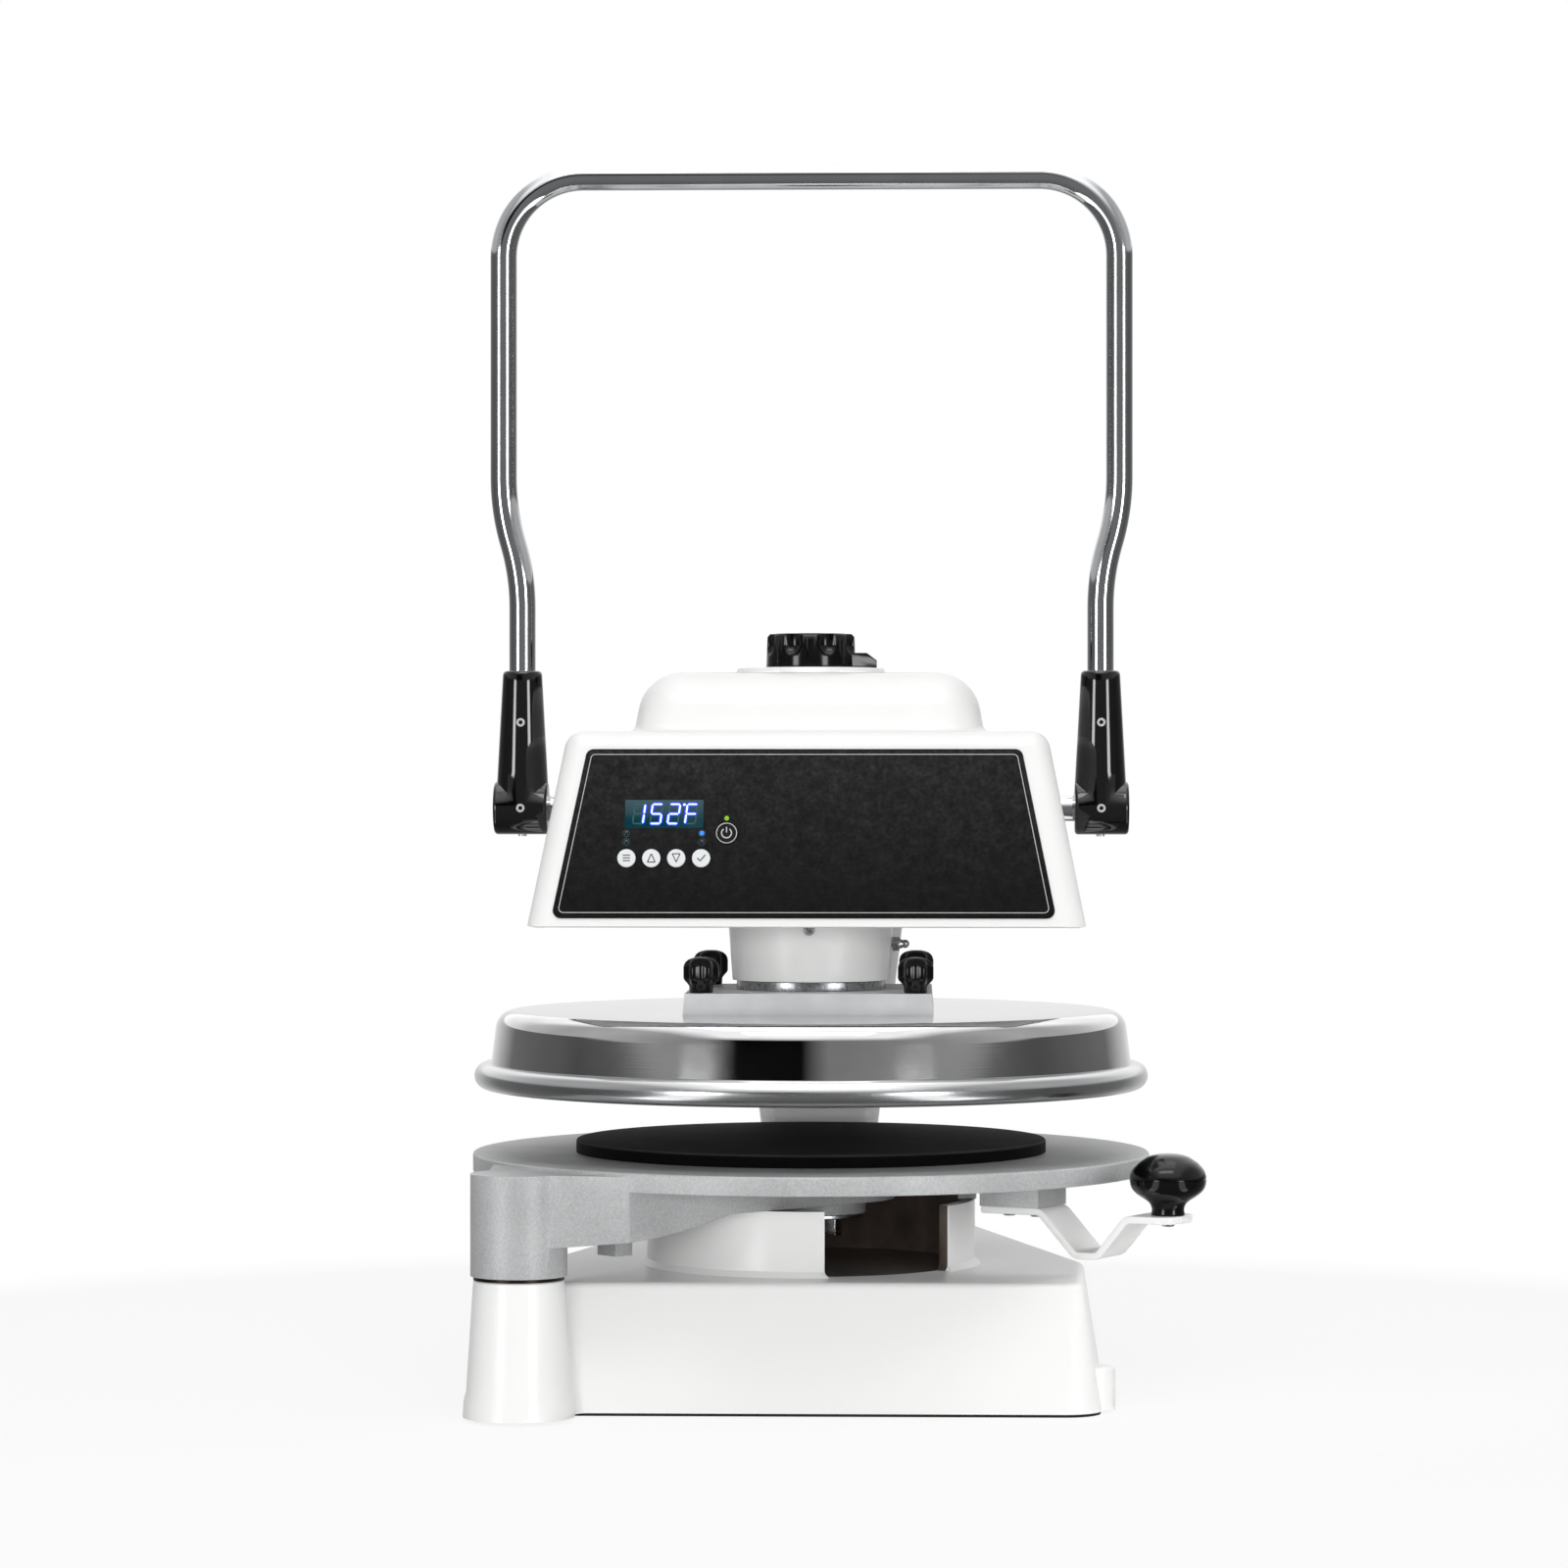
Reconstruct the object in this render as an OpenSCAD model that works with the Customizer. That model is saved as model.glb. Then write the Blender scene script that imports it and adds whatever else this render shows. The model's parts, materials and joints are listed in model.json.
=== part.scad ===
// Manual heated dough press. A cast base carries a lower platen that swings out on a pivot post, and a
// C-shaped frame carries a heated upper platen. Pulling the handle turns a cam, which drives the ram and
// the upper platen down.
// Millimetres, +Z up, front towards -Y. The origin is on the table, straight below the press axis.

/* [Base] */
// Thickness of the rubber strip that the base stands on
foot_t = 2; // [1:0.5:4]
// Width of the rubber strip
foot_w = 9; // [6:0.5:12]
// Height of the base casting
base_h = 88; // [75:1:110]
// Half width of the base top at its front corners
base_front_half = 189; // [175:1:200]
// Half width of the base top at its side corners
base_side_half = 194; // [190:1:205]
// Distance of the side corners behind the press axis
base_side_back = 3; // [-20:1:20]
// Half width of the base top at its rear corners
base_rear_half = 110; // [100:1:130]
// Distance from the press axis to the front edge of the base top
base_front = 149; // [140:1:160]
// How much wider the base is at its foot, on each side
base_draft = 14; // [8:1:18]
// Corner radius of the base top, seen from above
base_corner_r = 12; // [10:1:20]
// Radius of the base's upper edge
base_edge_r = 7; // [3:0.5:10]
// Wall thickness of the base casting
base_wall = 8; // [6:0.5:10]
// Radius of the foot lug at the right front corner
lug_r = 16; // [12:1:20]
// Height of that foot lug
lug_h = 29; // [20:1:35]

/* [Pivot post] */
// Pivot post, to the left of the press axis
pivot_left = 194; // [188:1:200]
// Pivot post, in front of the press axis
pivot_front = 180; // [174:1:186]
// Height of the post above the base top
post_rise = 5; // [2:1:10]
// Radius of the post at its top
post_r = 31; // [28:1:34]
// How much larger the post's radius is at its foot
post_draft = 6; // [3:1:8]
// Radius of the pivot pin
pin_r = 14; // [11:0.5:16]
// Depth of the pivot pin in the post
pin_depth = 55; // [40:1:65]
// Thickness of the thrust washer on the post
thrust_t = 2.5; // [1.5:0.5:4]

/* [Pedestal] */
// Height of the pedestal ring above the base top
pedestal_h = 45.6; // [40:0.2:55]
// Outer radius of the pedestal ring
pedestal_r = 117; // [110:1:122]
// Wall of the pedestal ring
pedestal_wall = 8; // [6:0.5:10]
// Angle where the opening in the ring starts
gate_start = -84; // [-90:1:-78]
// Angle where the opening in the ring ends
gate_end = -33; // [-36:1:-25]
// Radius of the opening's lower corners
gate_corner_r = 5; // [2:0.5:8]

/* [Lower platen] */
// Radius of the lower platen
lower_r = 241; // [235:1:250]
// Thickness of the lower platen
lower_t = 13; // [10:0.5:18]
// Height of the platen's underside above the pedestal ring
lower_lift = 20.9; // [16:0.1:26]
// Radius of the swing hub
hub_r = 33; // [30:1:36]
// Wall of the bronze bush in the hub
hub_bush_t = 4; // [3:0.5:6]
// How far the arm's top lies below the platen's top
arm_step = 2.5; // [1:0.5:4]
// How far the arm drops below the ring level at the hub
arm_drop = 18; // [12:1:20]
// Radius of the arm's round end under the platen's centre
arm_end_r = 60; // [50:1:70]
// Angle on each side of the pivot where the arm meets the platen's edge
arm_flare = 18; // [14:1:22]
// Radius of the centre boss
boss_r = 39; // [34:1:42]
// How far the centre boss drops below the ring level
boss_drop = 9.6; // [4:0.1:12]
// Radius of the press mat
mat_r = 167.5; // [150:0.5:190]
// Thickness of the press mat
mat_t = 9; // [5:0.5:12]

/* [Swing grip] */
// Angle of the grip from the right, towards the front
grip_angle = 26.6; // [15:0.1:40]
// Length of the grip block, as a share of the way from its inner end to the platen's rim
block_share = 0.47; // [0.4:0.01:0.5]
// Height of the grip block
block_h = 19.1; // [14:0.1:20]
// Width of the grip strap
strap_w = 43; // [38:1:55]
// Thickness of the grip strap
strap_t = 5; // [3:0.5:7]
// How deep the strap dips between the platen and the knob
strap_dip = 29; // [20:1:35]
// Largest radius of the grip knob
grip_r = 26.5; // [22:0.5:30]
// Height of the grip knob
grip_h = 42.5; // [36:0.5:52]

/* [Upper platen] */
// Open height between the press mat and the upper platen
daylight = 36.5; // [34:0.5:45]
// Radius of the heated platen
upper_r = 240; // [235:1:250]
// Thickness of the heated platen
upper_t = 18; // [14:0.5:24]
// Bottom radius of the stainless cover
cover_r = 228; // [215:1:232]
// Height of the stainless cover
cover_h = 37; // [30:1:45]
// Radius of the cover's shoulder
cover_edge_r = 13; // [8:1:18]
// Sheet thickness of the cover
cover_t = 1.5; // [1:0.1:2.5]
// Side of the square adapter plate
plate_side = 175; // [165:1:185]
// Thickness of the adapter plate
plate_t = 15; // [12:0.5:20]
// Distance of the clamp studs from the press axis, along each side
stud_offset = 75; // [70:0.5:78]
// Radius of the clamp studs
stud_r = 4; // [3:0.5:5]
// Largest radius of the clamp knobs
clamp_r = 12.5; // [11:0.5:15]
// Height of the clamp knobs
clamp_h = 25; // [20:1:30]

/* [Ram] */
// Radius of the ram
ram_r = 38; // [34:0.5:40]
// Radius of the ram's flange
flange_r = 53; // [50:0.5:55]
// Thickness of the ram's flange
flange_t = 6.3; // [5:0.1:10]
// Wall of the guide bush
guide_t = 6; // [4:0.5:8]
// Travel of the ram
stroke = 33; // [25:0.5:33]
// Handle angle for the whole travel
pull_angle = 100; // [95:1:105]
// Distance from the shaft axis to the roller axis at rest
roller_drop = 28; // [28:0.5:32]
// Radius of the cam roller
roller_r = 12; // [10:0.5:12]
// Thickness of the cam
cam_w = 24; // [18:1:26]

/* [Column and head] */
// Height of the guide neck below the head
neck_h = 41.4; // [35:0.2:50]
// Radius of the guide neck at its lower end
neck_r = 56; // [54:0.5:60]
// Gap between the lower platen and the column
column_gap = 11; // [8:1:20]
// Depth of the column from front to back
column_d = 78; // [65:1:90]
// Half width of the column at its foot
column_half = 35; // [30:1:45]
// Half width of the column where it meets the head
column_top_half = 65; // [58:1:75]
// Wall of the column casting
column_wall = 10; // [8:0.5:12]
// Thickness of the deck that closes the head from below
deck_t = 8; // [6:0.5:12]
// Half width of the head cover at its lower edge
head_half = 192; // [180:0.5:200]
// Distance from the press axis to the head's lower front edge
head_front = 150; // [140:1:160]
// Slope of the head's front face, from upright
front_slope = 12; // [8:0.5:15]
// Slope of the head's sides, from upright
side_slope = 11.1; // [8:0.1:13]
// Height of the head's shoulder above its lower edge
shoulder_h = 134; // [130:1:145]
// Radius of the head's shoulder edge
shoulder_r = 13.5; // [10:0.5:20]
// Radius of the head's upright corners
head_corner_r = 15; // [10:1:20]
// Wall of the head cover
head_wall = 4; // [3:0.5:5]
// Half width of the dome at its foot
dome_half = 123; // [118:1:130]
// Height of the dome above the shoulder
dome_h = 43.5; // [42:0.5:55]
// Radius of the dome's upper edge
dome_r = 24.5; // [20:0.5:32]
// Radius of the round boss on the dome
top_boss_r = 53; // [45:1:60]
// Height of that round boss
top_boss_h = 2.6; // [1.5:0.1:5]

/* [Handle] */
// Height of the handle shaft above the deck's underside
shaft_rise = 81; // [78:0.5:86]
// Radius of the handle shaft and of the handle bar
bar_r = 9.5; // [8.5:0.5:11]
// Clear space between the head's lower edge and the middle of a handle arm
arm_gap = 14.5; // [14:0.5:22]
// How far the arms step outwards above the sockets
jog = 13.5; // [8:0.5:18]
// Height of the jog's start above the shaft
jog_start = 143; // [125:1:160]
// Height over which the arms step outwards
jog_h = 93; // [75:1:110]
// Bend radius of the handle's upper corners
bend_r = 57; // [40:1:70]
// Height of the handle's top bar above the shaft
handle_h = 451; // [400:1:480]
// Length of a socket's hub along the shaft
socket_hub_l = 38.5; // [34:0.5:44]
// Radius of a socket's hub
socket_hub_r = 19; // [17:0.5:22]
// Height of the socket above the shaft
socket_h = 98; // [85:1:110]
// Radius of the socket at its top
socket_top_r = 13.3; // [12.5:0.1:15]

/* [Thickness control] */
// Radius of the thickness knob
knob_r = 32; // [28:0.5:38]
// Height of the thickness knob
knob_h = 24; // [20:0.5:30]
// Number of flutes round the knob
knob_flutes = 8; // [6:1:10]
// Distance from the press axis to the tip of the pointer
pointer_r = 47; // [44:0.5:52]
// Height of the pointer
pointer_h = 10.5; // [7:0.5:13]
// Radius of the thickness spindle
spindle_r = 8; // [6:0.5:9]

/* [Front panel] */
// Thickness of the panel
panel_t = 1.5; // [1:0.1:2.5]
// Half width of the panel at its lower edge
panel_half = 173; // [160:0.5:174]
// Height of the panel along the face
panel_h = 118.6; // [105:0.2:119]
// Height of the panel's lower edge on the face
panel_low = 5.6; // [5:0.2:8]
// Corner radius of the panel
panel_corner_r = 5.5; // [3:0.5:8]
// Width of the display window
window_w = 54.4; // [45:0.2:58]
// Height of the display window
window_h = 20.2; // [16:0.2:22]
// Distance from the middle of the panel to the middle of the display, to the left
controls_left = 97.6; // [90:0.2:105]
// Radius of the four small buttons
key_r = 6.3; // [5:0.1:7]
// Spacing of the four small buttons
key_pitch = 17.1; // [16:0.1:20]
// Radius of the power button
power_r = 7.4; // [6:0.1:8]
// Travel of a button
key_travel = 0.6; // [0.3:0.1:1]

/* [Fits] */
// Radial clearance of a turning, sliding or seated round fit
fit = 0.05; // [0.02:0.01:0.08]
// Clear space between faces that move past each other
clear = 0.4; // [0.3:0.1:0.6]
// Adhesive or seating gap between a flat piece and the head's face
seat_gap = 0.05; // [0.02:0.01:0.1]

/* [Hidden] */
$fn = 96;
hull_fn = 32;

// Heights, from the table up
base_z1 = foot_t + base_h;
post_z1 = base_z1 + post_rise;
ring_z1 = base_z1 + pedestal_h;
lower_z0 = ring_z1 + lower_lift;
lower_z1 = lower_z0 + lower_t;
mat_z1 = lower_z1 + mat_t;
upper_z0 = mat_z1 + daylight;
upper_z1 = upper_z0 + upper_t;
cover_z1 = upper_z1 + cover_h;
plate_z1 = cover_z1 + plate_t;
flange_z1 = plate_z1 + flange_t;
neck_z0 = flange_z1 + clear;
deck_z0 = neck_z0 + neck_h;
deck_z1 = deck_z0 + deck_t;
head_z0 = deck_z0 + 0.5;
shoulder_z = head_z0 + shoulder_h;
dome_z = shoulder_z + dome_h;
boss_z1 = dome_z + top_boss_h;
knob_z0 = boss_z1 + clear;
shaft_z = deck_z0 + shaft_rise;
handle_z = shaft_z + handle_h;
roller_z = shaft_z - roller_drop;
ram_z1 = roller_z - roller_r - 4;

// Plan positions
pivot = [-pivot_left, -pivot_front];
pivot_dist = norm(pivot);
pivot_dir = atan2(pivot_front, pivot_left);
column_y0 = lower_r + column_gap;
column_y1 = column_y0 + column_d;
base_rear = column_y1 + 20;
head_rear = column_y1 + 10;
rear_slope = 8;
arm_x = head_half + arm_gap;
socket_x0 = arm_x - 18.5;
shaft_half = socket_x0 + socket_hub_l - 2.5;

// Corner centres of the base, counter-clockwise from the left front
base_corners = [
    [-base_front_half + base_corner_r, -base_front + base_corner_r],
    [base_front_half - base_corner_r, -base_front + base_corner_r],
    [base_side_half - base_corner_r, base_side_back],
    [base_rear_half - base_corner_r, base_rear - base_corner_r],
    [-base_rear_half + base_corner_r, base_rear - base_corner_r],
    [-base_side_half + base_corner_r, base_side_back]
];
lug_at = [base_front_half + 8, 24 - base_front];

// Column foot and its bolts
column_corner_r = 14;
column_foot_t = 12;
column_foot_half = column_half + 22;
column_foot_y0 = column_y0 - 14;
column_foot_y1 = column_y1 + 14;
column_bolt_r = 6;
column_bolt_x = column_half + 11;
column_bolt_ys = [column_y0 + 6, column_y1 - 6];
gland_z = base_z1 + column_foot_t + 38;
gland_r = 10;

// Pins, screws and inserts
pin_z0 = post_z1 - pin_depth;
hub_z0 = post_z1 + thrust_t;
hub_z1 = lower_z1 - arm_step;
pin_z1 = hub_z1 - 17;
hub_bore_r = pin_r + hub_bush_t;
guide_r = ram_r + guide_t;
screw_r = 2.5;
set_screw_r = 3;
cover_screw_r = 2.5;
cover_screw_head = 3;
cover_boss_r = 6;
cover_boss_x = head_half - 51.5;
cover_boss_ys = [-head_front + 55, head_rear - 50];
flange_screw_r = 2.75;
flange_screw_at = flange_r - 7;
nipple_z = deck_z0 - 16;
neck_screw_drop = 4.6;
neck_screw_z = deck_z0 - neck_screw_drop;

// Lower platen details
boss_z0 = ring_z1 - boss_drop;
boss_plate_r = boss_r - 0.5;
boss_plate_t = 3;
boss_bolt_r = 5;
boss_bolt_x = 13;
boss_bolt_head = 14;
arm_clear_r = pivot_dist - pedestal_r;
rest_pad_w = 20;
stop_at = 84;
stop_l = 15;
stop_w = 20;
stop_drop = 29.6;

// Grip details, along the strap from its inner end
strap_gap = 28;
strap_in = pedestal_r + strap_gap;
rim_s = lower_r - strap_in;
block_l = block_share * rim_s;
strap_z = lower_z0 - block_h - strap_t;
strap_end_rise = 2.6;
strap_end_r = 4;
knob_s = rim_s + grip_r + 10.5;
strap_s = [0, block_l - 1, 0.74 * rim_s, 0.9375 * rim_s, knob_s - 21, knob_s + 10];
strap_screw_s = [0.27 * block_l, 0.73 * block_l, knob_s];
strap_screw_r = 3;
strap_path = [
    [strap_s[0], 0],
    [strap_s[1], 0],
    [strap_s[2], -strap_dip],
    [strap_s[3], -strap_dip],
    [strap_s[4], -strap_end_rise],
    [strap_s[5], -strap_end_rise]
];

// Upper platen details
sleeve_r = 9;
plate_taper = 0.985;
stud_z0 = upper_z1 - 12;
stud_z1 = plate_z1 + 14;
heater_r = 146;
heater_w = 12;
heater_t = 6;

// Cam, roller and ram head
cam_hub_r = roller_drop - roller_r - 2;
cam_over = 8;
roller_gap = 0.3;
roller_w = cam_w - 2;
roller_pin_r = 5;
cheek_t = 9;
cheek_x0 = cam_w / 2 + 1;
cheek_half = 13;
key_w = 6;
stop_heel = 35;
heel_h = 12;
stop_bar_gap = 2;
stop_bar_h = 20;
stop_bar_half = 14;

// Bearing frame inside the head
pillar_x0 = 50;
pillar_x1 = 74;
pillar_half = 26;
shaft_bush_t = 4.5;
stop_bar_z0 = shaft_z + stop_heel + stop_bar_gap;
yoke_z0 = stop_bar_z0 + stop_bar_h + 9;
yoke_t = 10;
yoke_half = 34;
collar_r = 16;
collar_w = 10;

// Thickness spindle
spindle_bush_t = 4;
spindle_collar_r = spindle_r + 4;
spindle_z0 = stop_bar_z0 + 4;
spindle_z1 = knob_z0 + knob_h - 8;

// Return springs
spring_at = [27, 24];
spring_wire_r = 1.2;
spring_mean_r = 5.6;
spring_turns = 12;
spring_rings = 8;
spring_sides = 6;

// Front panel layout: sideways from the middle, and up the sloping face from its lower edge
panel_shift = -1.6;
window_v = 78.5;
key_v = 47.4;
power_u = -controls_left + window_w / 2 + 15.8;
power_v = 64.9;
lamp_r = 1.8;
lamp_vs = [58.8, 64.9];
lamp_dx = 26;
key_gap = 0.3;
key_proud = 0.9;
board_t = 1.6;
board_w = -12.4;
switch_h = 3.6;
key_us = [for (i = [0 : 3]) -controls_left + (i - 1.5) * key_pitch];

// Flat outline round a convex row of corner centres, counter-clockwise, with corners of radius r
module rounded_outline(centres, r) {
    polygon(centres);
    for (i = [0 : len(centres) - 1]) {
        p = centres[i];
        q = centres[(i + 1) % len(centres)];
        out = [q[1] - p[1], p[0] - q[0]] / norm(q - p);
        polygon([p, p + r * out, q + r * out, q]);
        translate(p) circle(r);
    }
}

// Corner centres of an upright rectangle, drawn in by r
function box_centres(x0, x1, y0, y1, r) = [
    [x0 + r, y0 + r], [x1 - r, y0 + r], [x1 - r, y1 - r], [x0 + r, y1 - r]
];

// Ring round the Z axis
module ring(outer, inner, h) {
    difference() {
        cylinder(r = outer, h = h);
        translate([0, 0, -1]) cylinder(r = inner, h = h + 2);
    }
}

// Hexagon bolt or nut blank, across-corners radius r
module hex(r, h) {
    cylinder(r = r, h = h, $fn = 6);
}

// Places its children at the four clamp studs
module at_studs() {
    for (x = [-1, 1], y = [-1, 1]) translate([x * stud_offset, y * stud_offset, 0]) children();
}

// Upright corner of the base, with its draft and rounded upper edge
module base_corner(r, h) {
    edge = min(base_edge_r, r - 1);
    arc = [for (a = [0 : 22.5 : 90]) [r - edge + edge * cos(a), h - edge + edge * sin(a)]];
    rotate_extrude($fn = hull_fn) polygon(concat([[0, 0], [r + base_draft, 0]], arc, [[0, h]]));
}

// Solid base body; inset draws its walls in
module base_body(inset, h) {
    hull() for (c = base_corners) translate([c[0], c[1], foot_t]) base_corner(base_corner_r - inset, h);
}

// Web that joins the pivot post to the base's left front corner
module post_web() {
    c = base_corners[0];
    top = base_h - base_edge_r;
    hull() {
        translate([pivot[0], pivot[1], foot_t]) {
            cylinder(r1 = post_r - 2, r2 = post_r - 8, h = top, $fn = hull_fn);
        }
        translate([c[0], c[1], foot_t]) {
            cylinder(r1 = base_corner_r + base_draft - 4, r2 = base_corner_r - 4, h = top, $fn = hull_fn);
        }
    }
}

// Base with its pivot post
module base_casting() {
    color("#f1f1ef") difference() {
        union() {
            base_body(0, base_h);
            translate([pivot[0], pivot[1], foot_t]) {
                cylinder(r1 = post_r + post_draft, r2 = post_r, h = post_z1 - foot_t);
                cylinder(r1 = post_r + post_draft + 1, r2 = post_r + post_draft - 1, h = 14);
            }
            post_web();
            translate([lug_at[0], lug_at[1], foot_t]) cylinder(r1 = lug_r, r2 = lug_r - 2, h = lug_h);
        }
        translate([0, 0, -base_wall]) base_body(base_wall, base_h);
        translate([pivot[0], pivot[1], pin_z0]) cylinder(r = pin_r + fit, h = pin_depth + 1);
        for (x = [-1, 1], y = column_bolt_ys) {
            translate([x * column_bolt_x, y, base_z1 - base_wall - 1]) {
                cylinder(r = column_bolt_r + fit, h = base_wall + 2);
            }
        }
    }
}

// Rounded lower corner of the pedestal's opening, on the edge at the given angle; side points into the
// opening. The arc stops short of the base, so that its edge isn't a knife's.
module gate_corner(angle, side) {
    r = gate_corner_r;
    arc = [for (t = [30 : 15 : 90]) [r - r * sin(t), r - r * cos(t)]];
    rotate([0, 0, angle]) translate([pedestal_r - 3 * pedestal_wall, 0, base_z1]) {
        mirror([0, side > 0 ? 0 : 1, 0]) rotate([90, 0, 90]) linear_extrude(5 * pedestal_wall) {
            polygon(concat([[-1, r], [-1, -2], [r / 2, -2]], arc));
        }
    }
}

// Cut through the pedestal's wall, from the base up
module gate() {
    difference() {
        translate([0, 0, base_z1 - 1]) rotate([0, 0, gate_start]) {
            rotate_extrude(angle = gate_end - gate_start) {
                translate([pedestal_r - 2 * pedestal_wall, 0]) square([3 * pedestal_wall, pedestal_h + 2]);
            }
        }
        gate_corner(gate_start, 1);
        gate_corner(gate_end, -1);
    }
}

// Ring that the lower platen rests on, open to the front right so that the platen's centre boss can swing out
module pedestal() {
    foot = 4;
    inner = pedestal_r - pedestal_wall;
    color("#f1f1ef") difference() {
        translate([0, 0, base_z1]) rotate_extrude() polygon([
            [inner, 0], [pedestal_r + foot, 0], [pedestal_r, foot],
            [pedestal_r, pedestal_h], [inner, pedestal_h]
        ]);
        gate();
    }
}

// Rubber strip along the base's lower edge
module foot_strip() {
    color("#1b1b1b") linear_extrude(foot_t) difference() {
        rounded_outline(base_corners, base_corner_r + base_draft - 1);
        rounded_outline(base_corners, base_corner_r + base_draft - 1 - foot_w);
    }
}

// Slice of the column with rounded corners
module column_slice(half, z, inset) {
    r = column_corner_r;
    for (c = box_centres(-half, half, column_y0, column_y1, r)) {
        translate([c[0], c[1], z]) cylinder(r = r - inset, h = 0.1, $fn = hull_fn);
    }
}

// Column, widening up to the head; inset draws its walls in
module column_body(inset, z0, z1) {
    hull() {
        column_slice(column_half, z0, inset);
        column_slice(column_top_half, z1, inset);
    }
}

// Outline of the deck inside the head cover
module deck_outline() {
    inset = head_wall + deck_t * tan(front_slope) + clear + 0.5;
    r = head_corner_r - head_wall;
    x = head_half - inset;
    rounded_outline(box_centres(-x, x, -head_front + inset, head_rear - inset, r), r);
}

// Column, deck and guide neck in one casting
module column_casting() {
    color("#f1f1ef") difference() {
        union() {
            column_body(0, base_z1, deck_z0);
            translate([0, 0, base_z1]) linear_extrude(column_foot_t) {
                rounded_outline(
                    box_centres(-column_foot_half, column_foot_half, column_foot_y0, column_foot_y1, 10), 10);
            }
            translate([0, 0, deck_z0]) linear_extrude(deck_t) deck_outline();
            translate([0, 0, neck_z0]) cylinder(r1 = neck_r, r2 = neck_r + 3, h = neck_h + 1);
        }
        column_body(column_wall, base_z1 - 1, deck_z0 - column_wall);
        translate([0, 0, neck_z0 - 1]) cylinder(r = guide_r + fit, h = neck_h + deck_t + 2);
        for (x = [-1, 1], y = column_bolt_ys) {
            translate([x * column_bolt_x, y, base_z1 - 1]) {
                cylinder(r = column_bolt_r + fit, h = column_foot_t + 2);
            }
        }
        for (x = [-1, 1], y = cover_boss_ys) {
            translate([x * cover_boss_x, y, deck_z0 - 1]) {
                cylinder(r = cover_screw_r + fit, h = deck_t + 2);
                cylinder(r = 2 * cover_screw_r + clear, h = cover_screw_head + 1);
            }
        }
        translate([guide_r - 1, 0, nipple_z]) rotate([0, 90, 0]) cylinder(r = screw_r + fit, h = neck_r);
        translate([0, -guide_r + 1, neck_screw_z]) rotate([90, 0, 0]) cylinder(r = screw_r + fit, h = neck_r);
        translate([0, column_y1 - column_wall - 4, gland_z]) rotate([-90, 0, 0]) {
            cylinder(r = gland_r + fit, h = column_wall + 5);
        }
    }
}

// Hexagon bolts through the column's foot
module column_bolts() {
    color("#9a9c9e") for (x = [-1, 1], y = column_bolt_ys) {
        translate([x * column_bolt_x, y, base_z1 + column_foot_t]) {
            hex(1.8 * column_bolt_r, 7.5);
            translate([0, 0, -column_foot_t - base_wall]) {
                cylinder(r = column_bolt_r, h = column_foot_t + base_wall + 1);
            }
        }
    }
}

// Bronze bush that guides the ram
module guide_bush() {
    color("#a97f3f") translate([0, 0, neck_z0]) ring(guide_r, ram_r + fit, neck_h + deck_t);
}

// Two pillars that carry the shaft, joined above by the yoke that holds the thickness spindle and the springs
module bearing_frame() {
    color("#b9bbbd") difference() {
        union() {
            for (x = [-pillar_x1, pillar_x0]) translate([x, -pillar_half, deck_z1]) {
                cube([pillar_x1 - pillar_x0, 2 * pillar_half, yoke_z0 - deck_z1]);
            }
            translate([-pillar_x1, -yoke_half, yoke_z0]) cube([2 * pillar_x1, 2 * yoke_half, yoke_t]);
        }
        translate([-pillar_x1 - 1, 0, shaft_z]) rotate([0, 90, 0]) {
            cylinder(r = bar_r + shaft_bush_t + fit, h = 2 * pillar_x1 + 2);
        }
        translate([0, 0, yoke_z0 - 1]) cylinder(r = spindle_r + spindle_bush_t + fit, h = yoke_t + 2);
    }
}

// Bronze bushes of the handle shaft
module shaft_bushes() {
    color("#a97f3f") for (x = [-pillar_x1, pillar_x0]) translate([x, 0, shaft_z]) rotate([0, 90, 0]) {
        ring(bar_r + shaft_bush_t, bar_r + fit, pillar_x1 - pillar_x0);
    }
}

// How far a sphere of radius r lies in from a face that leans by slope, h above the face's foot
function lean(h, r, slope) = (h * sin(slope) + r) / cos(slope);

// Lower part of the head, with leaning sides and a rounded shoulder; wall draws it in
module head_body(wall, drop) {
    h = shoulder_h - shoulder_r;
    x = head_half - lean(h, shoulder_r, side_slope);
    y0 = -head_front + lean(h, shoulder_r, front_slope);
    y1 = head_rear - lean(h, shoulder_r, rear_slope);
    c = head_corner_r;
    hull() {
        for (p = box_centres(-head_half, head_half, -head_front, head_rear, c)) {
            translate([p[0], p[1], head_z0 - drop]) cylinder(r = c - wall, h = 0.1, $fn = hull_fn);
        }
        for (px = [-x, x], py = [y0, y1]) translate([px, py, head_z0 + h]) {
            sphere(r = shoulder_r - wall, $fn = hull_fn);
        }
    }
}

// Dome over the spindle; wall draws it in
module dome_body(wall) {
    draft = 18;
    sink = 12;
    top = dome_h + sink - dome_r;
    front = -head_front + 62;
    back = -front + 40;
    foot_half = dome_half + sink * tan(draft);
    c = lean(top, dome_r, draft);
    hull() {
        for (p = box_centres(-foot_half, foot_half, front, back, dome_r)) {
            translate([p[0], p[1], shoulder_z - sink]) cylinder(r = dome_r - wall, h = 0.1, $fn = hull_fn);
        }
        for (px = [-foot_half + c, foot_half - c], py = [front + c, back - c]) {
            translate([px, py, dome_z - dome_r]) sphere(r = dome_r - wall, $fn = hull_fn);
        }
    }
}

// Places its children on the head's sloping front face: X sideways, Y up the face, Z out of it
module on_face() {
    translate([0, -head_front, head_z0]) rotate([90 - front_slope, 0, 0]) children();
}

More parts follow.
